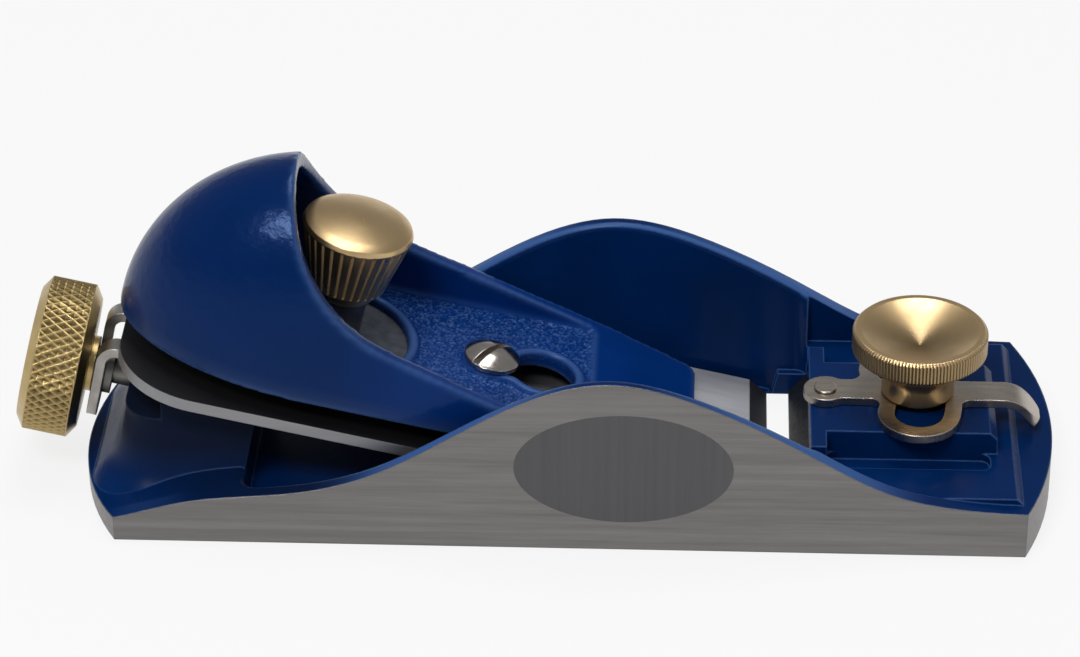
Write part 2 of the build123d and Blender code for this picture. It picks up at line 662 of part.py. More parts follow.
with BuildPart() as cap_room:
    with BuildSketch(across(HOOD_CENTRE_U, HOOD_CENTRE_N)):
        Ellipse(HOOD_WIDTH / 2 - HOOD_WALL, HOOD_RADIUS - HOOD_WALL)
    extrude(amount=wing_length)
    with BuildSketch(across(HOOD_CENTRE_U, HOOD_CENTRE_N)):
        Ellipse(HOOD_WIDTH / 2 - HOOD_WALL, HOOD_RADIUS - HOOD_WALL)
        Rectangle(2 * HOOD_WIDTH, 2 * HOOD_RADIUS, align=(Align.CENTER, Align.MAX), mode=Mode.SUBTRACT)
    revolve(axis=hood_turn, revolution_arc=-180)
    with BuildSketch(bed.offset(panel)):
        Polygon(*plan_wing(HOOD_WALL), align=None)
        with Locations((PANEL_FRONT, 0)):
            Rectangle(wing_length, HOOD_WIDTH, align=(Align.MIN, Align.CENTER), mode=Mode.SUBTRACT)
    extrude(amount=tall, mode=Mode.INTERSECT)

# Lever cap: hood and wings cut to the side outline, hollowed, with its lipped holes
with BuildPart() as lever_cap:
    with BuildSketch(across(HOOD_CENTRE_U, HOOD_CENTRE_N)):
        Ellipse(HOOD_WIDTH / 2, HOOD_RADIUS)
    extrude(amount=wing_length)
    with BuildSketch(across(HOOD_CENTRE_U, HOOD_CENTRE_N)):
        Ellipse(HOOD_WIDTH / 2, HOOD_RADIUS)
        Rectangle(2 * HOOD_WIDTH, 2 * HOOD_RADIUS, align=(Align.CENTER, Align.MAX), mode=Mode.SUBTRACT)
    revolve(axis=hood_turn, revolution_arc=-180)
    with BuildSketch(bed):
        Polygon(*plan_wing(0), align=None)
        fillet(vertices().group_by(Axis.X)[-1], CAP_FRONT_CORNER)
    extrude(amount=tall, mode=Mode.INTERSECT)
    with BuildSketch(bed_side):
        with BuildLine():
            foot_rear = CAP_FRONT - CAP_FOOT_LENGTH
            hood_top = HOOD_CENTRE_N + 2 * HOOD_RADIUS
            hood_rear = HOOD_CENTRE_U - 2 * HOOD_RADIUS
            rim_start = (mouth_centre_u - HOOD_MOUTH_RADIUS, mouth_centre_n)
            middle_angle = math.pi + (math.pi / 2 - wing_angle) / 2
            Polyline(
                rim_start,
                (rim_start[0], hood_top),
                (hood_rear, hood_top),
                (hood_rear, cap_bottom),
                (foot_rear - CAP_FOOT_SLOPE, cap_bottom),
                (foot_rear, cutter_top + SLIDING_GAP),
                (CAP_FRONT, cutter_top + SLIDING_GAP),
                (CAP_FRONT, cutter_top + CAP_FRONT_HEIGHT),
                (HOOD_MOUTH_U, HOOD_MOUTH_N),
            )
            ThreePointArc(
                (HOOD_MOUTH_U, HOOD_MOUTH_N),
                (
                    mouth_centre_u + HOOD_MOUTH_RADIUS * math.cos(middle_angle),
                    mouth_centre_n + HOOD_MOUTH_RADIUS * math.sin(middle_angle),
                ),
                rim_start,
            )
        make_face()
    extrude(amount=HOOD_WIDTH, both=True, mode=Mode.INTERSECT)
    add(cap_room.part, mode=Mode.SUBTRACT)
    with BuildSketch(bed.offset(cap_bottom)):
        with Locations((LOCK_U, 0)):
            Circle(LOCK_HOLE / 2 + LIP_WIDTH)
        with Locations((KEYHOLE_EYE_U, 0)):
            Circle(KEYHOLE_EYE / 2 + LIP_WIDTH)
        with Locations((CAP_SCREW_U, 0)):
            Circle(KEYHOLE_WIDTH / 2 + LIP_WIDTH)
            Rectangle(
                KEYHOLE_EYE_U - CAP_SCREW_U,
                KEYHOLE_WIDTH + 2 * LIP_WIDTH,
                align=(Align.MIN, Align.CENTER),
            )
    extrude(amount=lip_top - cap_bottom)
    with BuildSketch(bed):
        with Locations((LOCK_U, 0)):
            Circle(LOCK_HOLE / 2)
        with Locations((KEYHOLE_EYE_U, 0)):
            Circle(KEYHOLE_EYE / 2)
        with Locations((CAP_SCREW_U, 0)):
            Circle(KEYHOLE_WIDTH / 2)
            Rectangle(KEYHOLE_EYE_U - CAP_SCREW_U, KEYHOLE_WIDTH, align=(Align.MIN, Align.CENTER))
    extrude(amount=lip_top + LIP_HEIGHT, mode=Mode.SUBTRACT)

# Cap screw: slotted dome head that holds the cap down through the keyhole
with BuildPart() as lever_cap_screw:
    head_bottom = lip_top + SLIDING_GAP
    head_edge = head_bottom + CAP_SCREW_HEAD_EDGE
    with BuildSketch(upright(CAP_SCREW_U)):
        with BuildLine():
            Polyline(
                (0, -CAP_SCREW_DEPTH),
                (CAP_SCREW_DIAMETER / 2, -CAP_SCREW_DEPTH),
                (CAP_SCREW_DIAMETER / 2, head_bottom),
                (CAP_SCREW_HEAD / 2, head_bottom),
                (CAP_SCREW_HEAD / 2, head_edge),
            )
            RadiusArc(
                (CAP_SCREW_HEAD / 2, head_edge),
                (0, head_edge + CAP_SCREW_DOME),
                -(CAP_SCREW_HEAD**2 / (8 * CAP_SCREW_DOME) + CAP_SCREW_DOME / 2),
            )
            Line((0, head_edge + CAP_SCREW_DOME), (0, -CAP_SCREW_DEPTH))
        make_face()
    revolve(axis=Axis(bed.from_local_coords((CAP_SCREW_U, 0, 0)), off_bed))
    with BuildSketch(bed.offset(head_edge)):
        with Locations((CAP_SCREW_U, 0)):
            Rectangle(2 * CAP_SCREW_HEAD, CAP_SCREW_SLOT, rotation=CAP_SCREW_SLOT_TURN)
    extrude(amount=CAP_SCREW_DOME, mode=Mode.SUBTRACT)

# Lock knob, lock screw and nut: the screw jacks the hood up off the cutter
knob_bottom = LOCK_KNOB_TOP - LOCK_KNOB_CROWN - LOCK_KNOB_HEIGHT
lock_axis = Axis(bed.from_local_coords((LOCK_U, 0, 0)), off_bed)
with BuildPart() as lock_knob:
    with BuildSketch(upright(LOCK_U)):
        with BuildLine():
            boss_bottom = knob_bottom - LOCK_KNOB_BOSS_HEIGHT
            Polyline(
                (LOCK_SCREW_DIAMETER / 2, boss_bottom),
                (LOCK_KNOB_BOSS / 2, boss_bottom),
                (LOCK_KNOB_BOSS / 2, knob_bottom),
                (LOCK_KNOB_FOOT / 2, knob_bottom),
                (LOCK_KNOB_DIAMETER / 2, LOCK_KNOB_TOP - 2 * LOCK_KNOB_CROWN),
                (LOCK_KNOB_DIAMETER / 2 - LOCK_KNOB_CROWN, LOCK_KNOB_TOP - LOCK_KNOB_CROWN),
            )
            Spline(
                (LOCK_KNOB_DIAMETER / 2 - LOCK_KNOB_CROWN, LOCK_KNOB_TOP - LOCK_KNOB_CROWN),
                (0, LOCK_KNOB_TOP),
                tangents=[(-1, LOCK_KNOB_DOME), (-1, 0)],
            )
            Polyline(
                (0, LOCK_KNOB_TOP),
                (0, boss_bottom + PRESS_DEPTH),
                (LOCK_SCREW_DIAMETER / 2, boss_bottom + PRESS_DEPTH),
                (LOCK_SCREW_DIAMETER / 2, boss_bottom),
            )
        make_face()
    revolve(axis=lock_axis)

with BuildPart() as lock_screw:
    with BuildSketch(bed.offset(cutter_top + SLIDING_GAP)):
        with Locations((LOCK_U, 0)):
            Circle(LOCK_SCREW_DIAMETER / 2)
    extrude(amount=boss_bottom + PRESS_DEPTH - cutter_top - SLIDING_GAP)

with BuildPart() as lock_nut:
    with BuildSketch(bed.offset(cap_bottom)):
        with Locations((LOCK_U, 0)):
            Circle(LOCK_HOLE / 2)
    extrude(amount=LOCK_NUT_THICKNESS - LOCK_NUT_FLANGE)
    with BuildSketch(bed.offset(cap_bottom)):
        with Locations((LOCK_U, 0)):
            Circle(LOCK_HOLE / 2 + LOCK_NUT_FLANGE_WIDTH)
    extrude(amount=-LOCK_NUT_FLANGE)
    with BuildSketch(bed):
        with Locations((LOCK_U, 0)):
            Circle(LOCK_SCREW_DIAMETER / 2 + LOCK_SCREW_ROOM)
    extrude(amount=tall, mode=Mode.SUBTRACT)

os.makedirs("parts", exist_ok=True)
pieces = {
    "body_casting": body_casting,
    "toe_plate": toe_plate,
    "mouth_lever": mouth_lever,
    "mouth_lever_pin": mouth_lever_pin,
    "front_knob": front_knob,
    "front_knob_stud": front_knob_stud,
    "cutter": cutter,
    "lever_cap": lever_cap,
    "lever_cap_screw": lever_cap_screw,
    "lock_knob": lock_knob,
    "lock_screw": lock_screw,
    "lock_nut": lock_nut,
    "depth_wheel": depth_wheel,
    "adjuster_spindle": adjuster_spindle,
    "spindle_collar": spindle_collar,
    "adjuster_slide": adjuster_slide,
    "cutter_drive_pin": cutter_drive_pin,
}
for name, piece in pieces.items():
    piece.part.label = name
    export_step(piece.part, f"parts/{name}.step")
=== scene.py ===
"""Looks of a low-angle block plane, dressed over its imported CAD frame.

Metres, in the CAD frame: the sole lies on z = 0, +X points to the toe and +Z up. Pieces on the
bed use the bed's own frame: u runs down the bed to the mouth, v across, n square to the bed.
"""

import logging
import math
from dataclasses import dataclass, field, replace
from enum import Enum
from typing import Optional, Sequence, Union

import bmesh
import bpy
from mathutils import Matrix, Vector, noise
from mathutils.geometry import interpolate_bezier


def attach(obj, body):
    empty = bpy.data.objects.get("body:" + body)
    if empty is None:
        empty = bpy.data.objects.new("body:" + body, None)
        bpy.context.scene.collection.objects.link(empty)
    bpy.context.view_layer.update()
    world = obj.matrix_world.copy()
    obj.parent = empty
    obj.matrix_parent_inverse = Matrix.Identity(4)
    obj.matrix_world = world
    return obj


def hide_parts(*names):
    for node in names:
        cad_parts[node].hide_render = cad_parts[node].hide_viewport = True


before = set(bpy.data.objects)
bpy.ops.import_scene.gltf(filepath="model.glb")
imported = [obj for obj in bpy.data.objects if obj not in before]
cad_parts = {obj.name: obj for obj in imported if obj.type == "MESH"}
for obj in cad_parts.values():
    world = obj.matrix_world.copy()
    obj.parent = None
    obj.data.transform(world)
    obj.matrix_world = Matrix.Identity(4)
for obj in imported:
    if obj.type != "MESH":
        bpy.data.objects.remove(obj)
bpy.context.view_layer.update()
MM = 0.001
NEAR = 0.001 * MM
RECESS = "recess"
PEBBLE = "pebble"
# Attribute on the cap's outer edges that carries a painted highlight.
LIT_EDGES = "edge_glint"
log = logging.getLogger("block_plane")

Band = tuple[float, float]
Triple = tuple[float, float, float]
Colour = Triple
Profile = list[Band]
BMesh = bmesh.types.BMesh
Material = bpy.types.Material
Node = bpy.types.Node
Object = bpy.types.Object
Socket = bpy.types.NodeSocket
Tree = bpy.types.NodeTree
Value = Union[float, Sequence[float], Socket]
Inputs = dict[Union[str, int], Value]
WHITE: Colour = (1.0, 1.0, 1.0)


def shade(red: int, green: int, blue: int) -> Colour:
    """Turns a display colour into linear light.

    Args:
        red: Display red from 0 to 255.
        green: Display green from 0 to 255.
        blue: Display blue from 0 to 255.

    Returns:
        The colour as linear values.
    """

    def linear(level: int) -> float:
        """Linear light of one channel."""
        share = level / 255
        return share / 12.92 if share <= 0.04045 else ((share + 0.055) / 1.055) ** 2.4

    return linear(red), linear(green), linear(blue)


def scaled(colour: Colour, gain: float) -> Colour:
    """A colour made lighter or darker, up to white."""
    return tuple(min(1.0, gain * part) for part in colour)


class Graph:
    """A shader node tree with short calls for adding and joining nodes."""

    def __init__(self, tree: Tree) -> None:
        """Wraps a node tree."""
        self.tree = tree

    def feed(self, socket: Socket, value: Value) -> None:
        """Gives an input its value.

        Args:
            socket: The input.
            value: A socket to link to it, or a plain value to set on it.
        """
        if isinstance(value, Socket):
            self.tree.links.new(value, socket)
        else:
            socket.default_value = value

    def fill(self, node: Node, inputs: Inputs) -> None:
        """Feeds several inputs of a node."""
        for key, value in inputs.items():
            self.feed(node.inputs[key], value)

    def add(self, kind: str, inputs: Optional[Inputs] = None, **settings: object) -> Node:
        """Adds a node.

        Args:
            kind: Type name without its ShaderNode prefix.
            inputs: Input name or number to a value or a socket.
            settings: Properties of the node.

        Returns:
            The new node.
        """
        made = self.tree.nodes.new("ShaderNode" + kind)
        for name, setting in settings.items():
            setattr(made, name, setting)
        self.fill(made, inputs or {})
        return made

    def math(self, operation: str, *values: Value) -> Socket:
        """Output of a Math node over the values."""
        return self.add("Math", dict(enumerate(values)), operation=operation).outputs[0]

    def times(self, first: Value, second: Value) -> Socket:
        """Product of two values."""
        return self.math("MULTIPLY", first, second)

    def squares(self, first: Socket, second: Socket) -> Socket:
        """Sum of two squares."""
        return self.math("ADD", self.times(first, first), self.times(second, second))

    def vector(self, operation: str, *values: Value) -> Node:
        """A Vector Math node over the values."""
        return self.add("VectorMath", dict(enumerate(values)), operation=operation)

    def band(self, value: Value, low: float, high: float) -> Socket:
        """Ramp from 0 at low to 1 at high, clamped."""
        ramp = self.add("MapRange", {"Value": value, "From Min": low, "From Max": high})
        return ramp.outputs["Result"]

    def spread(self, value: Value, low: float, high: float) -> Socket:
        """Maps 0 to 1 onto low to high."""
        ramp = self.add("MapRange", {"Value": value, "To Min": low, "To Max": high})
        return ramp.outputs["Result"]

    def tint(self, share: Value, first: Value, second: Value) -> Socket:
        """Mixes two colours.

        Args:
            share: Share of the second colour.
            first: Colour where the share is 0.
            second: Colour where the share is 1.

        Returns:
            The mixed colour.
        """
        ends = [(*end, 1.0) if isinstance(end, tuple) else end for end in (first, second)]
        mixed = self.add("Mix", {0: share, 6: ends[0], 7: ends[1]}, data_type="RGBA")
        return mixed.outputs[2]

    def level(self, share: Value, first: Value, second: Value) -> Socket:
        """Number that goes from first to second as share goes from 0 to 1."""
        return self.add("Mix", {0: share, 2: first, 3: second}, data_type="FLOAT").outputs[0]

    def mottle(self, place: Socket, scale: Value, detail: float, rough: float = 0.5) -> Socket:
        """Noise about one half.

        Args:
            place: Where it is read.
            scale: How fine it is.
            detail: Layers of finer noise.
            rough: Share of each finer layer.

        Returns:
            The noise.
        """
        inputs = {"Vector": place, "Scale": scale, "Detail": detail, "Roughness": rough}
        return self.add("TexNoise", inputs).outputs[0]

    def mark(self, name: str) -> Socket:
        """Value of one of the piece's own attributes."""
        return self.add("Attribute", attribute_name=name).outputs["Fac"]

    def bump(self, strength: float, depth: float, height: Socket, normal: Socket) -> Socket:
        """Raises a fine relief in the shading.

        Args:
            strength: How much of the relief shows, from 0 to 1.
            depth: Depth of a height of 1.
            height: The relief.
            normal: Normal without the relief.

        Returns:
            Normal with the relief.
        """
        inputs = {"Strength": strength, "Distance": depth, "Height": height, "Normal": normal}
        return self.add("Bump", inputs).outputs["Normal"]

    def place(self) -> Socket:
        """Object coordinates of the piece."""
        return self.add("TexCoord").outputs["Object"]

    def facing(self) -> Socket:
        """Normal of the surface."""
        return self.add("NewGeometry").outputs["Normal"]

    def local(self, seat: Matrix) -> Socket:
        """Object coordinates seen from another frame.

        Args:
            seat: Turn and place of that frame.

        Returns:
            The coordinates.
        """
        back = seat.inverted()
        inputs = {
            "Vector": self.place(),
            "Location": back.to_translation(),
            "Rotation": back.to_euler("XYZ"),
        }
        return self.add("Mapping", inputs).outputs["Vector"]

    def axes(self, vector: Socket) -> tuple[Socket, Socket, Socket]:
        """The three parts of a vector."""
        split = self.add("SeparateXYZ", {0: vector})
        return split.outputs[0], split.outputs[1], split.outputs[2]


class Effect(Enum):
    """Effects that several finishes share, each one node group."""

    SOFT_EDGES = "soft_edges"
    GRAIN = "grain"
    PEEL = "orange_peel"
    TURNED = "turned_rings"


class Effects:
    """Builds each shared effect once and places it in a finish."""

    BEVEL_RAYS: int = 6
    EDGE_BAND: Band = (0.01, 0.16)
    STREAK_BAND: Band = (0.3, 0.7)
    FINE_SCALE: float = 3.7
    FINE_ROUGH: float = 0.7
    FINE_BAND: Band = (0.25, 0.75)
    CLOUD_SCALE: float = 60.0
    CLOUD_BAND: Band = (0.3, 0.7)
    TONE_SCALE: float = 220.0
    TONE_BAND: Band = (0.3, 0.75)

    def __init__(self) -> None:
        """Builds every group."""
        makers = {
            Effect.SOFT_EDGES: self._soft_edges,
            Effect.GRAIN: self._grain,
            Effect.PEEL: self._peel,
            Effect.TURNED: self._turned,
        }
        self.trees = {effect: maker(effect.value) for effect, maker in makers.items()}

    def put(self, graph: Graph, effect: Effect, **inputs: Value) -> bpy.types.NodeOutputs:
        """Places an effect in a finish.

        Args:
            graph: The finish's graph.
            effect: Which effect.
            inputs: Values of the group's inputs.

        Returns:
            The group's outputs.
        """
        return graph.add("Group", inputs, node_tree=self.trees[effect]).outputs

    @staticmethod
    def _blank(
        name: str, inputs: dict[str, str], outputs: dict[str, str]
    ) -> tuple[Tree, Graph, bpy.types.NodeOutputs, bpy.types.NodeInputs]:
        """Starts a group with its sockets.

        Args:
            name: Name of the group.
            inputs: Input name to socket kind.
            outputs: Output name to socket kind.

        Returns:
            The tree, its graph, the sockets that come in and those that go out.
        """
        tree = bpy.data.node_groups.new(name, "ShaderNodeTree")
        for way, sockets in (("INPUT", inputs), ("OUTPUT", outputs)):
            for label, kind in sockets.items():
                tree.interface.new_socket(label, in_out=way, socket_type="NodeSocket" + kind)
        come = tree.nodes.new("NodeGroupInput").outputs
        go = tree.nodes.new("NodeGroupOutput").inputs
        return tree, Graph(tree), come, go

    def _soft_edges(self, name: str) -> Tree:
        """Rounds edges in the shading and marks where they are.

        Args:
            name: Name of the group.

        Returns:
            The group.
        """
        tree, graph, come, go = self._blank(
            name, {"Radius": "Float"}, {"Normal": "Vector", "Edge": "Float"}
        )
        bevel = graph.add("Bevel", {"Radius": come["Radius"]}, samples=self.BEVEL_RAYS)
        rounded = bevel.outputs["Normal"]
        agree = graph.vector("DOT_PRODUCT", rounded, graph.facing()).outputs["Value"]
        turn = graph.math("SUBTRACT", 1.0, agree)
        graph.feed(go["Normal"], rounded)
        graph.feed(go["Edge"], graph.band(turn, *self.EDGE_BAND))
        return tree

    def _grain(self, name: str) -> Tree:
        """Streaks along one direction, coarse and fine.

        Args:
            name: Name of the group.

        Returns:
            The group.
        """
        tree, graph, come, go = self._blank(
            name, {"Place": "Vector", "Stretch": "Vector"}, {"Streak": "Float", "Fine": "Float"}
        )
        drawn = graph.vector("MULTIPLY", come["Place"], come["Stretch"]).outputs[0]
        coarse = graph.mottle(drawn, 1.0, 3.0)
        fine = graph.mottle(drawn, self.FINE_SCALE, 4.0, self.FINE_ROUGH)
        graph.feed(go["Streak"], graph.band(coarse, *self.STREAK_BAND))
        graph.feed(go["Fine"], graph.band(fine, *self.FINE_BAND))
        return tree

    def _peel(self, name: str) -> Tree:
        """Orange-peel height of a thick paint, and its slow changes of tone.

        Args:
            name: Name of the group.

        Returns:
            The group.
        """
        tree, graph, come, go = self._blank(
            name, {"Place": "Vector", "Size": "Float"}, {"Height": "Float", "Cloud": "Float"}
        )
        slow = graph.mottle(come["Place"], self.CLOUD_SCALE, 2.0)
        graph.feed(go["Height"], graph.mottle(come["Place"], come["Size"], 2.0))
        graph.feed(go["Cloud"], graph.band(slow, *self.CLOUD_BAND))
        return tree

    def _turned(self, name: str) -> Tree:
        """Rings that a lathe tool leaves round the local z axis.

        Args:
            name: Name of the group.

        Returns:
            The group.
        """
        tree, graph, come, go = self._blank(
            name, {"Place": "Vector", "Rings": "Float"}, {"Height": "Float", "Tone": "Float"}
        )
        across, along, up = graph.axes(come["Place"])
        out = graph.math("SQRT", graph.squares(across, along))
        path = graph.times(graph.math("SUBTRACT", out, up), come["Rings"])
        ring = graph.add(
            "TexNoise", {"W": path, "Scale": 1.0, "Detail": 3.0}, noise_dimensions="1D"
        )
        tone = graph.mottle(come["Place"], self.TONE_SCALE, 3.0)
        graph.feed(go["Height"], ring.outputs[0])
        graph.feed(go["Tone"], graph.band(tone, *self.TONE_BAND))
        return tree


EFFECTS = Effects()


def new_material(name: str) -> tuple[Material, Graph, Node]:
    """Starts a finish.

    Args:
        name: Name of the material.

    Returns:
        The material, its graph and its Principled BSDF node.
    """
    material = bpy.data.materials.new(name)
    material.use_nodes = True
    return material, Graph(material.node_tree), material.node_tree.nodes["Principled BSDF"]


@dataclass(frozen=True)
class BedFrame:
    """The bed's own frame, from the cutting edge at rest."""

    lean: float = math.radians(13.0)
    edge_x: float = 32.35 * MM
    edge_z: float = 0.2 * MM

    def seat(self, u: float = 0.0, n: float = 0.0) -> Matrix:
        """Frame at a point of the bed: x down the bed, z square off it."""
        base = Matrix.Translation((self.edge_x, 0.0, self.edge_z))
        return base @ Matrix.Rotation(self.lean, 4, "Y") @ Matrix.Translation((u, 0.0, n))

    def spindle(self, u: float, n: float) -> Matrix:
        """Frame at a point of the bed whose z axis runs down the bed."""
        return self.seat(u, n) @ Matrix.Rotation(math.pi / 2, 4, "Y")


BED = BedFrame()


@dataclass(frozen=True)
class GroundFaces:
    """Where the body is ground bare: flanks, finger hollows, sole and both round ends."""

    flank_y: float = 24.96 * MM
    hollow_x: float = 9.6 * MM
    hollow_z: float = 15.2 * MM
    hollow_length: float = 17.15 * MM
    hollow_height: float = 10.0 * MM
    hollow_y: float = 23.5 * MM
    hollow_edge: float = 0.995
    sole_z: float = 0.02 * MM
    heel_centre: float = -29.657 * MM
    heel_radius: float = 48.143 * MM
    toe_centre: float = 15.104 * MM
    toe_radius: float = 62.696 * MM
    chord: float = 0.09 * MM

    def masks(self, graph: Graph) -> tuple[Socket, Socket]:
        """Builds the masks.

        Args:
            graph: The body finish's graph.

        Returns:
            The mask of all bare iron, and that of the finger hollows alone.
        """
        x, y, z = graph.axes(graph.place())
        side = graph.math("ABSOLUTE", y)
        flank = graph.math("GREATER_THAN", side, self.flank_y)
        sole = graph.math("LESS_THAN", z, self.sole_z)
        run = graph.math("DIVIDE", graph.math("SUBTRACT", x, self.hollow_x), self.hollow_length)
        rise = graph.math("DIVIDE", graph.math("SUBTRACT", z, self.hollow_z), self.hollow_height)
        oval = graph.math("LESS_THAN", graph.squares(run, rise), self.hollow_edge)
        hollow = graph.times(oval, graph.math("GREATER_THAN", side, self.hollow_y))
        heel = self._end(graph, x, y, self.heel_centre, self.heel_radius, "LESS_THAN")
        toe = self._end(graph, x, y, self.toe_centre, self.toe_radius, "GREATER_THAN")
        bare = flank
        for other in (hollow, sole, heel, toe):
            bare = graph.math("MAXIMUM", bare, other)
        return bare, hollow

    def _end(
        self, graph: Graph, x: Socket, y: Socket, centre: float, radius: float, side: str
    ) -> Socket:
        """Mask of one round end.

        Args:
            graph: The body finish's graph.
            x: Place along the body.
            y: Place across the body.
            centre: Centre of the end's arc along the body.
            radius: Radius of the arc.
            side: Comparison that picks the end's side of the centre.

        Returns:
            1 on the end's face and 0 elsewhere.
        """
        run = graph.math("SUBTRACT", x, centre)
        reach = graph.math("SQRT", graph.squares(run, y))
        outside = graph.math("GREATER_THAN", reach, radius - self.chord)
        return graph.times(outside, graph.math(side, run, 0.0))


@dataclass(frozen=True)
class StippledPanel:
    """The pebbled floor between the wings of the lever cap, in the bed's frame."""

    floor_n: float = 7.35 * MM
    depth: float = 0.3 * MM
    front_u: float = -31.0 * MM
    rear_u: float = -88.0 * MM
    half_width: float = 15.5 * MM
    pebble: float = 0.62 * MM
    pebble_reach: float = 0.7
    relief: float = 0.34 * MM
    upright: float = 0.9

    def holds(self, spot: Vector) -> bool:
        """Whether a point of the cap lies on the panel."""
        inside = spot.x < self.front_u and abs(spot.y) < self.half_width
        return inside and abs(spot.z - self.floor_n) < self.depth

    def mask(self, graph: Graph, down: Socket, side: Socket, off: Socket) -> Socket:
        """Mask of the panel in a finish.

        Args:
            graph: The finish's graph.
            down: Place along the bed.
            side: Distance from the middle.
            off: Height over the bed.

        Returns:
            1 on the panel and 0 elsewhere.
        """
        level = graph.math("COMPARE", off, self.floor_n, 2 * self.depth)
        for inside in (
            graph.math("LESS_THAN", down, self.front_u),
            graph.math("GREATER_THAN", down, self.rear_u),
            graph.math("LESS_THAN", side, self.half_width),
        ):
            level = graph.times(level, inside)
        return level

    def roughen(self, cast: BMesh) -> None:
        """Raises the pebbles on the cap's mesh and keeps their heights in a layer.

        Args:
            cast: The cap's mesh, in the bed's frame.
        """
        layer = cast.verts.layers.float.new(PEBBLE)
        cast.normal_update()
        edges = {
            edge
            for face in cast.faces
            if face.normal.z > self.upright and self.holds(face.calc_center_median())
            for edge in face.edges
        }
        bmesh.ops.subdivide_edges(cast, edges=list(edges), cuts=1, use_grid_fill=True)
        cast.normal_update()
        for vert in cast.verts:
            if vert.normal.z > self.upright and self.holds(vert.co):
                spread, _ = noise.voronoi(Vector((vert.co.x, vert.co.y, 0.0)) / self.pebble)
                vert[layer] = max(0.0, 1.0 - spread[0] / self.pebble_reach)
                vert.co.z += self.relief * (vert[layer] - 0.5)


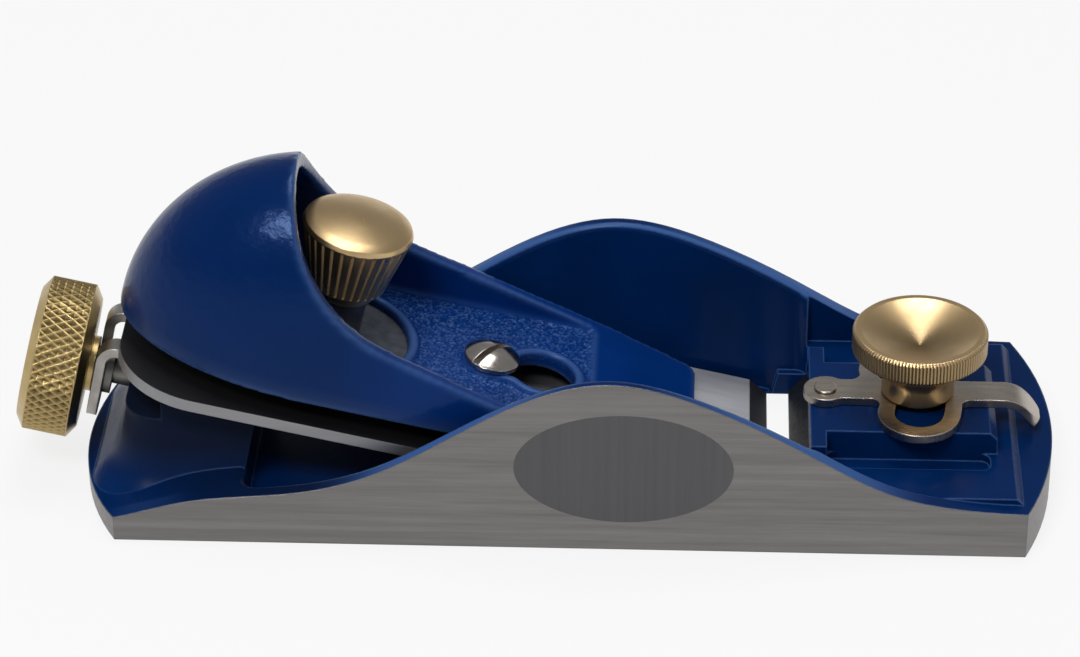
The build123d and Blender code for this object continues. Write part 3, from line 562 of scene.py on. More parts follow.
@dataclass(frozen=True)
class Enamel:
    """Thick gloss enamel on a casting, with its bare ground faces or a stippled panel."""

    colour: Colour = shade(4, 43, 106)
    deep: Colour = shade(2, 36, 91)
    # Painted shade: a darker copy of the same enamel on the cap's hood.
    hood_shade: Colour = shade(0, 26, 69)
    # Colour of the painted highlight on edges and rims.
    rim: Colour = shade(62, 94, 148)
    gleam: Colour = (0.34, 0.53, 1.0)
    iron: Colour = shade(134, 131, 130)
    iron_dark: Colour = shade(106, 103, 103)
    hollow: Colour = shade(76, 76, 79)
    # Colour of the painted sparkle on the panel's pebbles and grains.
    sparkle: Colour = shade(70, 100, 150)
    # Painted shade on the heel under the cutter.
    heel_shade: Colour = shade(12, 16, 25)
    # Painted reflection of the pale floor on the cap's lower edges.
    skirt_reflection: Colour = shade(44, 58, 92)
    # Shine, roughness and relief. A relief is its strength and its depth.
    shine: float = 0.24
    roughness: float = 0.17
    roughness_spread: float = 0.08
    heel_shade_roughness: float = 0.55
    speck_roughness: float = 0.26
    iron_roughness: Band = (0.34, 0.5)
    peel: float = 620.0
    body_bump: Band = (0.22, 0.12 * MM)
    cap_bump: Band = (0.8, 0.105 * MM)
    # Grain of the ground iron: streaks in a metre along x, y and z.
    flank_grain: Triple = (28.0, 900.0, 900.0)
    hollow_grain: Triple = (1100.0, 60.0, 24.0)
    streak_share: float = 0.45
    # Shares of a second colour over the first: the hollows' tone, painted shade and a painted
    # reflection; then the painted highlights on edges, rims, pebbles and corners.
    hollow_share: float = 0.75
    heel_shade_share: float = 0.8
    hood_shade_share: float = 0.8
    skirt_reflection_share: float = 0.5
    edge_radius: float = 0.5 * MM
    edge_highlight: float = 0.3
    rim_highlight: float = 0.75
    pebble_sparkle: float = 0.55
    corner_highlight: float = 0.4
    pebble_tops: Band = (0.25, 0.8)
    grit: float = 2300.0
    grit_band: Band = (0.5, 0.68)
    grit_share: float = 0.6
    # Where each change of colour starts and where it is full.
    hood_u: Band = (-56.0 * MM, -72.0 * MM)
    skirt_u: Band = (-34.0 * MM, -48.0 * MM)
    skirt_v: Band = (15.5 * MM, 16.5 * MM)
    skirt_n: Band = (8.6 * MM, 5.2 * MM)
    tail_u: Band = (-91.0 * MM, -94.0 * MM)
    # Painted shade on the heel under the cutter, along x and up z.
    bed_x: Band = (-30.0 * MM, -40.0 * MM)
    bed_z: Band = (4.5 * MM, 12.0 * MM)
    rim_y: Band = (22.0 * MM, 22.6 * MM)
    # How far the rounded rim faces up, from 0 to 1, where the painted rim highlight lies.
    rim_low: Band = (0.42, 0.68)
    rim_high: Band = (0.98, 0.86)

    def _paint(self, graph: Graph) -> tuple[Socket, Socket, Socket, Socket]:
        """Plain paint, as both castings have it.

        Args:
            graph: The finish's graph.

        Returns:
            Its colour, roughness, height and softened normal.
        """
        soft = EFFECTS.put(graph, Effect.SOFT_EDGES, Radius=self.edge_radius)
        peel = EFFECTS.put(graph, Effect.PEEL, Place=graph.place(), Size=self.peel)
        tone = graph.tint(peel["Cloud"], self.deep, self.colour)
        # Edges are tinted toward the rim colour: a painted highlight.
        colour = graph.tint(graph.times(soft["Edge"], self.edge_highlight), tone, self.rim)
        rougher = self.roughness + self.roughness_spread
        gloss = graph.spread(peel["Cloud"], self.roughness, rougher)
        return colour, gloss, peel["Height"], soft["Normal"]

    def body(self, name: str, faces: GroundFaces) -> Material:
        """Finish of the body: enamel inside, ground iron outside.

        Args:
            name: Name of the material.
            faces: Where the iron is bare.

        Returns:
            The material.
        """
        material, graph, shader = new_material(name)
        colour, gloss, height, normal = self._paint(graph)
        bare, hollow = faces.masks(graph)
        place = graph.place()
        x, y, z = graph.axes(place)
        lean = graph.axes(graph.facing())[2]
        # Painted highlight on the rounded inner rims of the walls.
        rounded = graph.times(graph.band(lean, *self.rim_low), graph.band(lean, *self.rim_high))
        rim = graph.times(rounded, graph.band(graph.math("ABSOLUTE", y), *self.rim_y))
        # Painted shade on the heel under the cutter, which is made rougher too.
        shaded_heel = graph.times(graph.band(x, *self.bed_x), graph.band(z, *self.bed_z))
        colour = graph.tint(graph.times(rim, self.rim_highlight), colour, self.rim)
        colour = graph.tint(graph.times(shaded_heel, self.heel_shade_share), colour, self.heel_shade)
        gloss = graph.level(shaded_heel, gloss, self.heel_shade_roughness)
        along = EFFECTS.put(graph, Effect.GRAIN, Place=place, Stretch=self.flank_grain)
        upright = EFFECTS.put(graph, Effect.GRAIN, Place=place, Stretch=self.hollow_grain)
        streak = graph.level(hollow, along["Streak"], upright["Streak"])
        fine = graph.level(hollow, along["Fine"], upright["Fine"])
        lines = graph.level(self.streak_share, fine, streak)
        ground = graph.tint(lines, self.iron_dark, self.iron)
        ground = graph.tint(graph.times(hollow, self.hollow_share), ground, self.hollow)
        rough = graph.spread(fine, *self.iron_roughness)
        relief = graph.level(bare, height, lines)
        graph.fill(
            shader,
            {
                "Base Color": graph.tint(bare, colour, ground),
                "Metallic": bare,
                "Roughness": graph.level(bare, gloss, rough),
                "Normal": graph.bump(*self.body_bump, relief, normal),
            },
        )
        self._gloss(shader)
        return material

    def cap(self, name: str, panel: StippledPanel) -> Material:
        """Finish of the lever cap: smooth enamel with a pebbled panel.

        Args:
            name: Name of the material.
            panel: Where the cap is pebbled.

        Returns:
            The material.
        """
        material, graph, shader = new_material(name)
        colour, gloss, height, normal = self._paint(graph)
        down, across, off = graph.axes(graph.local(BED.seat()))
        side = graph.math("ABSOLUTE", across)
        # Painted shade on the hood, toward the rear.
        back = graph.band(down, *self.hood_u)
        colour = graph.tint(graph.times(back, self.hood_shade_share), colour, self.hood_shade)
        # Painted reflection of the pale floor on the cap's lower sides and tail.
        wall, tail = graph.band(side, *self.skirt_v), graph.band(down, *self.tail_u)
        low = graph.times(graph.band(down, *self.skirt_u), graph.band(off, *self.skirt_n))
        skirt = graph.times(graph.math("MAXIMUM", wall, tail), low)
        colour = graph.tint(graph.times(skirt, self.skirt_reflection_share), colour, self.skirt_reflection)
        # Painted sparkle on the pebble tops and the fine grains of the panel.
        grains = graph.band(graph.mottle(graph.place(), self.grit, 2.0), *self.grit_band)
        between = graph.times(panel.mask(graph, down, side, off), self.grit_share)
        pebbles = graph.band(graph.mark(PEBBLE), *self.pebble_tops)
        tops = graph.math("MAXIMUM", pebbles, graph.times(between, grains))
        # Painted highlight on the cap's outer edges.
        corners = graph.times(graph.mark(LIT_EDGES), self.corner_highlight)
        glints = graph.math("MAXIMUM", graph.times(tops, self.pebble_sparkle), corners)
        graph.fill(
            shader,
            {
                "Base Color": graph.tint(glints, colour, self.sparkle),
                "Roughness": graph.level(tops, gloss, self.speck_roughness),
                "Normal": graph.bump(*self.cap_bump, height, normal),
            },
        )
        self._gloss(shader)
        return material

    def _gloss(self, shader: Node) -> None:
        """Sets the strength and the tint of the paint's shine."""
        shader.inputs["Specular IOR Level"].default_value = self.shine
        shader.inputs["Specular Tint"].default_value = (*self.gleam, 1.0)


@dataclass(frozen=True)
class Metal:
    """Bare or plated metal with grain, a painted highlight on its edges and, on turned pieces,
    lathe rings.
    """

    colour: Colour
    dark: Colour
    roughness: float
    stretch: Triple = (200.0, 200.0, 200.0)
    edge: float = 0.3
    edge_radius: float = 0.25 * MM
    bump: float = 0.08
    dull: float = 0.0
    # A grained face: depth, steps from the roughness, gain of the colour in the painted edge
    # highlight.
    grain_depth: float = 0.1 * MM
    grain_roughness: Band = (-0.05, 0.08)
    grain_gleam: float = 1.35
    # A turned face: the same, then the share of its dark rings and the gain of the tarnish and
    # painted shade in its recesses.
    ring_depth: float = 0.06 * MM
    ring_roughness: Band = (-0.04, 0.08)
    ring_gleam: float = 1.3
    ring_share: float = 0.5
    tarnish_and_shade: float = 0.3
    knurl_band: Band = (0.0, 0.3)
    knurl_roughness: float = 0.5

    def material(self, name: str) -> Material:
        """Finish of a flat or drawn piece.

        Args:
            name: Name of the material.

        Returns:
            The material.
        """
        material, graph, shader = new_material(name)
        soft = EFFECTS.put(graph, Effect.SOFT_EDGES, Radius=self.edge_radius)
        grain = EFFECTS.put(graph, Effect.GRAIN, Place=graph.place(), Stretch=self.stretch)
        tone = graph.tint(grain["Streak"], self.dark, self.colour)
        # Edges made lighter: a painted highlight.
        edge_glint = graph.times(soft["Edge"], self.edge)
        low, high = (self.roughness + step for step in self.grain_roughness)
        graph.fill(
            shader,
            {
                "Base Color": graph.tint(edge_glint, tone, scaled(self.colour, self.grain_gleam)),
                "Metallic": 1.0,
                "Roughness": graph.spread(grain["Fine"], low, high),
                "Normal": graph.bump(self.bump, self.grain_depth, grain["Fine"], soft["Normal"]),
            },
        )
        return material

    def turned(self, name: str, seat: Matrix, rings: float) -> Material:
        """Finish of a lathe-turned piece, with tarnish and painted shade in its knurl's recesses.

        Args:
            name: Name of the material.
            seat: Frame whose z axis the piece was turned about.
            rings: Rings in a metre.

        Returns:
            The material.
        """
        material, graph, shader = new_material(name)
        soft = EFFECTS.put(graph, Effect.SOFT_EDGES, Radius=self.edge_radius)
        lathe = EFFECTS.put(graph, Effect.TURNED, Place=graph.local(seat), Rings=rings)
        pit = graph.mark(RECESS)
        tone = graph.tint(graph.times(lathe["Tone"], self.ring_share), self.colour, self.dark)
        gleam = scaled(self.colour, self.ring_gleam)
        # Edges made lighter: a painted highlight.
        edge_glint = graph.tint(graph.times(soft["Edge"], self.edge), tone, gleam)
        low, high = (self.roughness + step for step in self.ring_roughness)
        rough, metallic = graph.spread(lathe["Tone"], low, high), 1.0
        if self.dull:
            knurl = graph.band(pit, *self.knurl_band)
            rough = graph.level(knurl, rough, self.knurl_roughness)
            metallic = graph.spread(knurl, 1.0, 1.0 - self.dull)
        graph.fill(
            shader,
            {
                # Tarnish and painted shade in the knurl's recesses.
                "Base Color": graph.tint(pit, edge_glint, scaled(self.dark, self.tarnish_and_shade)),
                "Metallic": metallic,
                "Roughness": rough,
                "Normal": graph.bump(self.bump, self.ring_depth, lathe["Height"], soft["Normal"]),
            },
        )
        return material


@dataclass(frozen=True)
class BladeSteel:
    """Ground cutter steel, pale near the mouth, with painted shade on the back under the cap and
    on the bevel.
    """

    bright: Colour = shade(214, 214, 217)
    # Painted shade: the back under the cap and the bevel are darker copies of the same steel.
    dull: Colour = shade(50, 50, 53)
    side: Colour = shade(152, 152, 155)
    bevel: Colour = shade(84, 84, 88)
    top: float = 2.0 * MM
    bevel_u: float = -4.6 * MM
    shade_u: Band = (-44.0 * MM, -26.0 * MM)
    edge_radius: float = 0.2 * MM
    stretch: Triple = (30.0, 900.0, 300.0)
    streak_share: float = 0.12
    roughness: Band = (0.5, 0.62)
    bump: Band = (0.06, 0.1 * MM)

    def material(self, name: str) -> Material:
        """Finish of the cutter.

        Args:
            name: Name of the material.

        Returns:
            The material.
        """
        material, graph, shader = new_material(name)
        down, _, off = graph.axes(graph.local(BED.seat()))
        soft = EFFECTS.put(graph, Effect.SOFT_EDGES, Radius=self.edge_radius)
        grain = EFFECTS.put(graph, Effect.GRAIN, Place=graph.place(), Stretch=self.stretch)
        # Painted shade on the back of the cutter under the cap.
        face = graph.tint(graph.band(down, *self.shade_u), self.dull, self.bright)
        flat = graph.math("GREATER_THAN", off, self.top)
        front = graph.math("GREATER_THAN", down, self.bevel_u)
        tone = graph.tint(flat, graph.tint(front, self.side, self.bevel), face)
        streaks = graph.times(grain["Streak"], self.streak_share)
        graph.fill(
            shader,
            {
                "Base Color": graph.tint(streaks, tone, self.dull),
                "Metallic": 1.0,
                "Roughness": graph.spread(grain["Fine"], *self.roughness),
                "Normal": graph.bump(*self.bump, grain["Fine"], soft["Normal"]),
            },
        )
        return material


BRASS = Metal(shade(210, 181, 136), shade(172, 147, 106), 0.3, bump=0.1)
WHEEL_BRASS = replace(BRASS, colour=shade(190, 166, 115), dark=shade(154, 133, 86))
NICKEL = Metal(
    shade(182, 173, 163), shade(166, 157, 146), 0.28, (60.0, 500.0, 200.0), edge=0.5, bump=0.03
)
POLISHED = Metal(
    shade(190, 183, 176), shade(170, 162, 154), 0.17, (300.0, 300.0, 300.0), bump=0.04
)
PLATED = Metal(
    shade(170, 166, 161), shade(146, 142, 137), 0.34, (300.0, 120.0, 400.0), edge=0.5, bump=0.04
)
STEEL = replace(PLATED, colour=shade(132, 129, 124), dark=shade(104, 101, 97), roughness=0.36)
NUT_STEEL = Metal(
    shade(112, 116, 124), shade(88, 92, 100), 0.4, (500.0, 500.0, 200.0), edge=0.4, bump=0.05
)
GROUND = Metal(shade(122, 120, 118), shade(92, 91, 90), 0.4, (30.0, 1300.0, 1300.0))


class Lathe:
    """Turns profiles into meshes round the local z axis."""

    WELD: float = 0.1 * NEAR
    ON_AXIS: float = 10 * NEAR

    @staticmethod
    def spin(profile: Profile, steps: int) -> BMesh:
        """Spins a profile into a closed mesh.

        Args:
            profile: Radius and height of each corner, from one end of the axis to the other.
            steps: Faces round the axis.

        Returns:
            The mesh, with a layer for its recesses.
        """
        made = bmesh.new()
        made.verts.layers.float.new(RECESS)
        corners = [made.verts.new((radius, 0.0, height)) for radius, height in profile]
        edges = [made.edges.new(pair) for pair in zip(corners, corners[1:])]
        bmesh.ops.spin(
            made, geom=corners + edges, cent=(0, 0, 0), axis=(0, 0, 1),
            angle=2 * math.pi, steps=steps, use_merge=True,
        )
        bmesh.ops.remove_doubles(made, verts=made.verts[:], dist=Lathe.WELD)
        bmesh.ops.recalc_face_normals(made, faces=made.faces[:])
        return made

    @staticmethod
    def mill(
        made: BMesh, low: float, high: float, teeth: int, steps: int, depth: float,
        dark: Band,
    ) -> None:
        """Cuts straight grooves into a band.

        Args:
            made: The spun mesh.
            low: Lowest height of the band.
            high: Highest height of the band.
            teeth: Grooves round the axis.
            steps: Faces round the axis.
            depth: Groove depth as a share of the radius.
            dark: How far tarnish and painted shade darken the ridges and the grooves, from 0 to
                1.
        """
        layer = made.verts.layers.float[RECESS]
        per_tooth = steps // teeth
        groove = []
        for vert in made.verts:
            banded = low - NEAR <= vert.co.z <= high + NEAR
            if banded and vert.co.xy.length > Lathe.ON_AXIS:
                step = round(math.atan2(vert.co.y, vert.co.x) / (2 * math.pi) * steps)
                vert[layer] = dark[step % per_tooth == 0]
                if step % per_tooth == 0:
                    groove.append(vert)
        bmesh.ops.scale(made, vec=(1 - depth, 1 - depth, 1.0), verts=groove)

    @staticmethod
    def curve(start: Band, out: Band, back: Band, end: Band, points: int = 10) -> Profile:
        """Profile points of a smooth curve.

        Args:
            start: First point.
            out: Handle of the first point.
            back: Handle of the last point.
            end: Last point.
            points: How many points.

        Returns:
            Radius and height of each point.
        """
        knots = [Vector((*point, 0.0)) for point in (start, out, back, end)]
        return [(point.x, point.y) for point in interpolate_bezier(*knots, points)]


def put_in_scene(name: str, data: bpy.types.ID) -> Object:
    """Adds an object to the scene.

    Args:
        name: Name of the object.
        data: Its mesh, lamp or camera.

    Returns:
        The object.
    """
    made = bpy.data.objects.new(name, data)
    bpy.context.scene.collection.objects.link(made)
    return made


def mesh_from(made: BMesh, name: str) -> bpy.types.Mesh:
    """Makes a mesh of a bmesh, which is used up.

    Args:
        made: The bmesh.
        name: Name of the mesh.

    Returns:
        The mesh.
    """
    mesh = bpy.data.meshes.new(name)
    made.to_mesh(mesh)
    made.free()
    return mesh


def piece_from(
    made: BMesh, name: str, seat: Matrix, material: Material, crease: float
) -> Object:
    """Makes a scene object of a bmesh.

    Args:
        made: The bmesh, which is used up.
        name: Name of the piece.
        seat: Where the bmesh's own frame goes.
        material: Its finish.
        crease: Angle in degrees past which an edge stays sharp.

    Returns:
        The object, at the origin with its place in its mesh.
    """
    made.transform(seat)
    sharp = math.radians(crease)
    for edge in made.edges:
        edge.smooth = len(edge.link_faces) == 2 and edge.calc_face_angle(0.0) < sharp
    for face in made.faces:
        face.smooth = True
    mesh = mesh_from(made, name)
    mesh.materials.append(material)
    return put_in_scene(name, mesh)


def dress(node: str, material: Material) -> Object:
    """Gives a CAD node its finish.

    Args:
        node: Name of the node.
        material: Its finish.

    Returns:
        The node's object.
    """
    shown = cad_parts[node]
    shown.data.materials.clear()
    shown.data.materials.append(material)
    return shown


def stand_in(piece: Object, body: str, node: str) -> Object:
    """Lets a piece take a CAD node's place.

    Args:
        piece: The detailed piece.
        body: CAD body that it moves with.
        node: CAD node that it stands for.

    Returns:
        The piece.
    """
    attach(piece, body)
    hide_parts(node)
    return piece


@dataclass
class Body:
    """The iron body with its fixed pin and screw."""

    # The body's enamel, with a stronger painted highlight on its edges.
    enamel: Enamel = Enamel(
        colour=shade(2, 35, 83), deep=shade(1, 28, 69), gleam=WHITE, shine=0.07, edge_highlight=0.65
    )
    faces: GroundFaces = field(default_factory=GroundFaces)

    def build(self) -> list[Object]:
        """Dresses the body's nodes.

        Returns:
            The pieces.
        """
        return [
            dress("body_casting", self.enamel.body("body_enamel", self.faces)),
            dress("mouth_lever_pin", NICKEL.material("pin_nickel")),
            dress("lever_cap_screw", POLISHED.material("cap_screw_plate")),
        ]


@dataclass
class ToeSet:
    """The toe plate with its lever and its brass knob."""

    centre_x: float = 56.05 * MM
    stem_bottom: float = 14.7 * MM
    stem_radius: float = 5.8 * MM
    stem_straight: float = 2.6 * MM
    stem_edge: float = 0.2 * MM
    flare_rise: float = 2.4 * MM
    flare_in: float = 2.2 * MM
    flare_drop: float = 2.0 * MM
    rim_bottom: float = 22.1 * MM
    top: float = 26.1 * MM
    rim_radius: float = 10.75 * MM
    edge: float = 0.5 * MM
    lip: float = 0.9 * MM
    lip_edge: Band = (0.2 * MM, 0.1 * MM)
    dish: float = 3.0 * MM
    dish_tip: Band = (0.35 * MM, 0.06 * MM)
    teeth: int = 120
    tooth_steps: int = 4
    mill_depth: float = 0.024
    # Painted shade darkens the whole milled band, the ridges too; the grooves take tarnish as
    # well.
    mill_dark: Band = (0.55, 1.0)
    rings: float = 9000.0
    crease: float = 20.0

    def build(self) -> list[Object]:
        """Builds the knob and dresses the rest.

        Returns:
            The pieces.
        """
        return [
            dress("toe_plate", GROUND.material("toe_iron")),
            dress("mouth_lever", NICKEL.material("lever_nickel")),
            dress("front_knob_stud", STEEL.material("stud_steel")),
            self._knob(),
        ]

    def _knob(self) -> Object:
        """The dished knob with its finely milled rim.

        Returns:
            The knob.
        """
        steps = self.tooth_steps * self.teeth
        shoulder = self.stem_bottom + self.stem_straight
        reach = self.rim_radius - self.edge
        flare = Lathe.curve(
            (self.stem_radius, shoulder),
            (self.stem_radius, shoulder + self.flare_rise),
            (reach - self.flare_in, self.rim_bottom - self.flare_drop),
            (reach, self.rim_bottom),
        )
        low = self.rim_bottom + self.edge
        high = self.top - self.edge
        lip_in, lip_drop = self.lip_edge
        tip_radius, tip_rise = self.dish_tip
        profile = [
            (0.0, self.stem_bottom),
            (self.stem_radius - self.stem_edge, self.stem_bottom),
            (self.stem_radius, self.stem_bottom + self.stem_edge),
            *flare,
            (self.rim_radius, low),
            (self.rim_radius, high),
            (reach, self.top),
            (reach - self.lip, self.top),
            (reach - self.lip - lip_in, self.top - lip_drop),
            (tip_radius, self.top - self.dish + tip_rise),
            (0.0, self.top - self.dish),
        ]
        made = Lathe.spin(profile, steps)
        Lathe.mill(made, low, high, self.teeth, steps, self.mill_depth, self.mill_dark)
        seat = Matrix.Translation((self.centre_x, 0.0, 0.0))
        finish = BRASS.turned("front_knob_brass", seat, self.rings)
        knob = piece_from(made, "front_knob_milled", seat, finish, self.crease)
        return stand_in(knob, "front_knob_set", "front_knob")


@dataclass
class DepthAdjuster:
    """The knurled wheel with its spindle, collar, slide and the cutter they move."""

    wheel_u: float = -115.25 * MM
    axis_n: float = -8.2 * MM
    radius: float = 12.5 * MM
    half_width: float = 4.85 * MM
    chamfer: float = 1.3 * MM
    slope: float = 2.0 * MM
    hub_radius: float = 4.5 * MM
    hub_length: float = 1.1 * MM
    hub_edge: float = 0.15 * MM
    bore_radius: float = 2.5 * MM
    knurl_steps: int = 54
    knurl_row: float = 1.3 * MM
    ridge: float = 0.31 * MM
    pit_depth: float = 0.22 * MM
    pit_tip: float = 0.2 * MM
    # Tarnish and painted shade in the knurl's pits.
    pit_dark: float = 0.62
    rings: float = 6000.0
    crease: float = 24.0

    def build(self) -> list[Object]:
        """Builds the wheel and dresses the rest.

        Returns:
            The pieces.
        """
        steel = STEEL.material("adjuster_steel")
        return [
            dress("cutter", BladeSteel().material("cutter_steel")),
            dress("adjuster_slide", PLATED.material("slide_plate")),
            dress("adjuster_spindle", steel),
            dress("spindle_collar", steel),
            dress("cutter_drive_pin", steel),
            self._wheel(),
        ]

    def _wheel(self) -> Object:
        """The wheel with its net of ridges round the rim.

        Returns:
            The wheel.
        """
        face = self.half_width
        band = face - self.chamfer
        end = face + self.hub_length
        profile = [
            (0.0, -face),
            (self.radius - self.slope, -face),
            (self.radius, -band),
            (self.radius, -self.knurl_row),
            (self.radius, self.knurl_row),
            (self.radius, band),
            (self.radius - self.slope, face),
            (self.hub_radius, face),
            (self.hub_radius, end - self.hub_edge),
            (self.hub_radius - self.hub_edge, end),
            (self.bore_radius, end),
            (self.bore_radius, 0.0),
            (0.0, 0.0),
        ]
        made = Lathe.spin(profile, self.knurl_steps)
        self._knurl(made)
        seat = BED.spindle(self.wheel_u, self.axis_n)
        finish = WHEEL_BRASS.turned("depth_wheel_brass", seat, self.rings)
        wheel = piece_from(made, "depth_wheel_knurled", seat, finish, self.crease)
        return stand_in(wheel, "depth_wheel_set", "depth_wheel")

    def _rim(self, made: BMesh) -> list[bmesh.types.BMFace]:
        """Finds the rim.

        Args:
            made: The wheel's mesh.

        Returns:
            The faces that lie on it.
        """
        return [
            face for face in made.faces
            if all(abs(vert.co.xy.length - self.radius) < NEAR for vert in face.verts)
        ]

    def _knurl(self, made: BMesh) -> None:
        """Turns the rim's squares into diamonds and sinks a pit into each.

        Args:
            made: The wheel's mesh.
        """
        layer = made.verts.layers.float[RECESS]
        rim = self._rim(made)
        inner = set(rim)
        straight = {
            edge
            for face in rim
            for edge in face.edges
            if all(link in inner for link in edge.link_faces)
        }
        middles = bmesh.ops.poke(made, faces=rim)["verts"]
        lift = 1 / math.cos(math.pi / self.knurl_steps)
        bmesh.ops.scale(made, vec=(lift, lift, 1.0), verts=middles)
        bmesh.ops.dissolve_edges(made, edges=list(straight))
        pits = self._rim(made)
        bmesh.ops.inset_individual(
            made, faces=pits, thickness=self.ridge, depth=-self.pit_depth, use_even_offset=True
        )
        for face in pits:
            for vert in face.verts:
                vert[layer] = self.pit_dark
        for vert in bmesh.ops.poke(made, faces=pits, offset=-self.pit_tip)["verts"]:
            vert[layer] = 1.0


@dataclass
class LeverCap:
    """The hooded cap with its lock knob, lock screw and nut."""

    lock_u: float = -73.2 * MM
    boss_bottom: float = 15.3 * MM
    knob_bottom: float = 17.1 * MM
    knob_top: float = 29.6 * MM
    knob_radius: float = 8.9 * MM
    foot_radius: float = 6.3 * MM
    foot_edge: float = 0.3 * MM
    boss_radius: float = 4.8 * MM
    screw_radius: float = 4.0 * MM
    press_depth: float = 5.0 * MM
    crown: float = 1.15 * MM
    crown_edge: Band = (0.25, 0.6)
    dome_out: Band = (0.66, 0.35)
    dome_back: float = 0.33
    knurl_foot: float = 0.6 * MM
    knurl_head: float = 0.5 * MM
    teeth: int = 32
    tooth_steps: int = 6
    mill_depth: float = 0.05
    # Tarnish and painted shade in the grooves.
    mill_dark: Band = (0.0, 0.4)
    rings: float = 7000.0
    dull: float = 0.55
    knob_crease: float = 24.0
    voxel: float = 0.42 * MM
    smoothing: int = 3
    smoothing_share: float = 0.5
    # Mean bend in radians at which the painted edge highlight starts, and the span to its full
    # strength.
    glint_from: float = 0.05
    glint_span: float = 0.12
    glint_passes: int = 3
    cap_crease: float = 60.0

    def build(self) -> list[Object]:
        """Builds the cap and the knob and dresses the rest.

        Returns:
            The pieces.
        """
        steel = STEEL.material("lock_steel")
        return [
            self._cap(),
            dress("lock_nut", NUT_STEEL.material("nut_steel")),
            dress("lock_screw", steel),
            self._knob(),
        ]

    def _cap(self) -> Object:
        """The cap as a casting, with every edge rounded by its sand mould and its paint.

        Returns:
            The cap.
        """
        plain = bmesh.new()
        plain.from_mesh(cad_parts["lever_cap"].data)
        bmesh.ops.remove_doubles(plain, verts=plain.verts[:], dist=NEAR)
        plain.transform(BED.seat().inverted())
        rough = put_in_scene("lever_cap_rough", mesh_from(plain, "lever_cap_rough"))
        skin = rough.modifiers.new("skin", "REMESH")
        skin.mode = "VOXEL"
        skin.voxel_size = self.voxel
        bpy.context.view_layer.update()
        shown = rough.evaluated_get(bpy.context.evaluated_depsgraph_get())
        cast = bmesh.new()
        cast.from_mesh(shown.to_mesh())
        shown.to_mesh_clear()
        bpy.data.objects.remove(rough)
        axes = {"use_axis_x": True, "use_axis_y": True, "use_axis_z": True}
        for _ in range(self.smoothing):
            bmesh.ops.smooth_vert(
                cast, verts=cast.verts[:], factor=self.smoothing_share, **axes
            )
        self._mark_edge_glints(cast)
        panel = StippledPanel()
        panel.roughen(cast)
        finish = Enamel().cap("cap_enamel", panel)
        cap = piece_from(cast, "lever_cap_cast", BED.seat(), finish, self.cap_crease)
        return stand_in(cap, "cap", "lever_cap")

    def _mark_edge_glints(self, cast: BMesh) -> None:
        """Marks the cap's outer edges, which get a painted highlight.

        Args:
            cast: The cap's mesh.
        """
        layer = cast.verts.layers.float.new(LIT_EDGES)
        for vert in cast.verts:
            bends = [edge.calc_face_angle_signed(0.0) for edge in vert.link_edges]
            bend = sum(bends) / len(bends)
            vert[layer] = min(1.0, max(0.0, bend - self.glint_from) / self.glint_span)
        for _ in range(self.glint_passes):
            around = [
                [edge.other_vert(vert)[layer] for edge in vert.link_edges] for vert in cast.verts
            ]
            for vert, values in zip(cast.verts, around):
                vert[layer] = 0.5 * vert[layer] + 0.5 * sum(values) / len(values)

    def _knob(self) -> Object:
        """The brass cone with its straight knurl and smooth crown.

        Returns:
            The knob.
        """
        steps = self.tooth_steps * self.teeth
        shoulder = self.knob_top - 2 * self.crown
        rim = self.knob_radius - self.crown
        slope = (self.knob_radius - self.foot_radius) / (shoulder - self.knob_bottom)
        low = self.knob_bottom + self.knurl_foot
        high = shoulder - self.knurl_head
        flank = [
            (self.foot_radius + slope * (height - self.knob_bottom), height)
            for height in (self.knob_bottom + self.foot_edge, low, high)
        ]
        out, drop = self.dome_out
        dome = Lathe.curve(
            (rim, self.knob_top - self.crown),
            (out * rim, self.knob_top - drop * self.crown),
            (self.dome_back * rim, self.knob_top),
            (0.0, self.knob_top),
        )
        edge, rise = (share * self.crown for share in self.crown_edge)
        inside = self.boss_bottom + self.press_depth
        profile = [
            (0.0, inside),
            (self.screw_radius, inside),
            (self.screw_radius, self.boss_bottom),
            (self.boss_radius, self.boss_bottom),
            (self.boss_radius, self.knob_bottom),
            (self.foot_radius - self.foot_edge, self.knob_bottom),
            *flank,
            (self.knob_radius, shoulder),
            (self.knob_radius - edge, shoulder + rise),
            *dome,
        ]
        made = Lathe.spin(profile, steps)
        Lathe.mill(made, low, high, self.teeth, steps, self.mill_depth, self.mill_dark)
        seat = BED.seat(self.lock_u)
        brass = replace(BRASS, dull=self.dull)
        finish = brass.turned("lock_knob_brass", seat, self.rings)
        knob = piece_from(made, "lock_knob_knurled", seat, finish, self.knob_crease)
        return stand_in(knob, "lock_knob_set", "lock_knob")


@dataclass(frozen=True)
class Softbox:
    """One large lamp, aimed at the object."""

    name: str
    place: Triple
    width: float
    height: float
    watts: float

    def light(self, aim: Vector) -> None:
        """Hangs the lamp.

        Args:
            aim: Point that it is turned to.
        """
        lamp = bpy.data.lights.new(self.name, "AREA")
        lamp.shape = "RECTANGLE"
        lamp.size, lamp.size_y = self.width, self.height
        lamp.energy = self.watts
        hung = put_in_scene(self.name, lamp)
        hung.location = self.place
        hung.rotation_euler = (aim - Vector(self.place)).to_track_quat("-Z", "Y").to_euler()


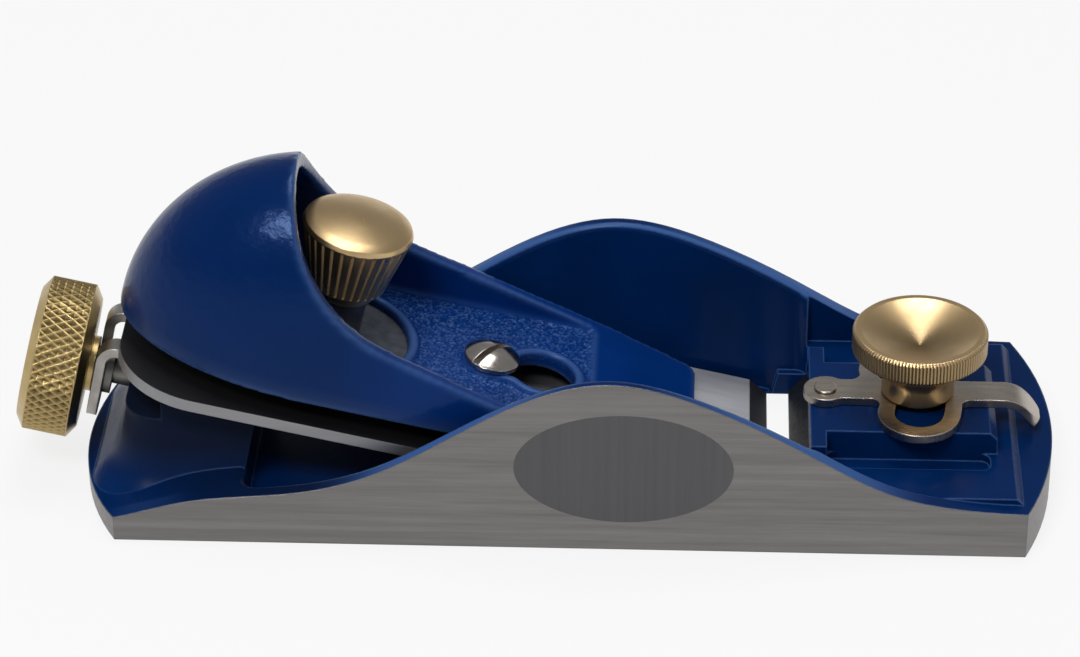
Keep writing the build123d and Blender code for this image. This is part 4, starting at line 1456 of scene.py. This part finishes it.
@dataclass
class Studio:
    """Pale floor, soft lamps, plain surroundings and the camera."""

    azimuth: float = math.radians(2.7412)
    elevation: float = math.radians(32.4053)
    roll: float = math.radians(-0.4719)
    lens: float = 130.437
    sensor: float = 36.0
    clip: float = 0.01
    place: Triple = (20.80 * MM, -525.72 * MM, 359.06 * MM)
    floor_half: float = 4.0
    floor_drop: float = 0.05 * MM
    floor_colour: Colour = (0.62, 0.62, 0.62)
    floor_roughness: float = 0.9
    floor_glow: float = 0.82
    sky: Colour = (0.32, 0.325, 0.335)
    sky_band: Band = (0.06, 0.3)
    sky_strength: float = 0.9
    aim: Triple = (0.0, 0.0, 0.02)
    lamps: tuple[Softbox, ...] = (
        Softbox("key_softbox", (-0.20, -0.55, 0.80), 0.36, 0.22, 5.3),
        Softbox("top_softbox", (0.06, 0.19, 1.0), 0.42, 0.6, 4.5),
        Softbox("fill_softbox", (0.75, -0.45, 0.6), 0.5, 0.5, 0.8),
    )

    def set_up(self) -> None:
        """Sets the stage."""
        bpy.context.scene.view_settings.view_transform = "Standard"
        self._floor()
        self._surroundings()
        for lamp in self.lamps:
            lamp.light(Vector(self.aim))
        self._camera()

    def _floor(self) -> None:
        """The floor, which reads white and keeps the object's shadow."""
        made = bmesh.new()
        bmesh.ops.create_grid(made, x_segments=1, y_segments=1, size=self.floor_half)
        bmesh.ops.translate(made, vec=(0.0, 0.0, -self.floor_drop), verts=made.verts[:])
        material, graph, shader = new_material("floor_white")
        rays = graph.add("LightPath").outputs
        seen = rays["Is Camera Ray"]
        for ray in ("Is Glossy Ray", "Is Transmission Ray"):
            seen = graph.math("MAXIMUM", seen, rays[ray])
        shader.inputs["Base Color"].default_value = (*self.floor_colour, 1.0)
        shader.inputs["Roughness"].default_value = self.floor_roughness
        glow = graph.add("Emission", {"Color": (*WHITE, 1.0), "Strength": 1.0})
        share = graph.times(seen, self.floor_glow)
        mixed = graph.add("MixShader", {0: share, 1: shader.outputs[0], 2: glow.outputs[0]})
        end = material.node_tree.nodes["Material Output"]
        graph.feed(end.inputs["Surface"], mixed.outputs[0])
        mesh = mesh_from(made, "floor")
        mesh.materials.append(material)
        floor = put_in_scene("floor", mesh)

    def _surroundings(self) -> None:
        """Surroundings that are white at the horizon and darker overhead."""
        world = bpy.data.worlds.new("surroundings")
        world.use_nodes = True
        bpy.context.scene.world = world
        graph = Graph(world.node_tree)
        up = graph.axes(graph.add("TexCoord").outputs["Generated"])[2]
        tone = graph.tint(graph.band(up, *self.sky_band), WHITE, self.sky)
        backdrop = world.node_tree.nodes["Background"]
        graph.fill(backdrop, {"Color": tone, "Strength": self.sky_strength})

    def _camera(self) -> None:
        """The camera at the picture's own viewing angle."""
        back = Vector(
            (
                math.sin(self.azimuth) * math.cos(self.elevation),
                -math.cos(self.azimuth) * math.cos(self.elevation),
                math.sin(self.elevation),
            )
        )
        level = Vector((math.cos(self.azimuth), math.sin(self.azimuth), 0.0))
        rise = back.cross(level)
        right = math.cos(self.roll) * level + math.sin(self.roll) * rise
        up = math.cos(self.roll) * rise - math.sin(self.roll) * level
        lens = bpy.data.cameras.new("camera")
        lens.lens = self.lens
        lens.sensor_width = self.sensor
        lens.clip_start = self.clip
        camera = put_in_scene("camera", lens)
        turn = Matrix((right, up, back)).transposed().to_4x4()
        camera.matrix_world = Matrix.Translation(self.place) @ turn
        bpy.context.scene.camera = camera


def main() -> None:
    """Builds and dresses every sub-assembly, then sets the stage."""
    logging.basicConfig(level=logging.INFO, format="%(name)s: %(message)s")
    for assembly in (Body(), ToeSet(), DepthAdjuster(), LeverCap()):
        kind = type(assembly).__name__
        for piece in assembly.build():
            log.info("%s: %s, %d faces", kind, piece.name, len(piece.data.polygons))
    Studio().set_up()


if __name__ == "__main__":
    main()
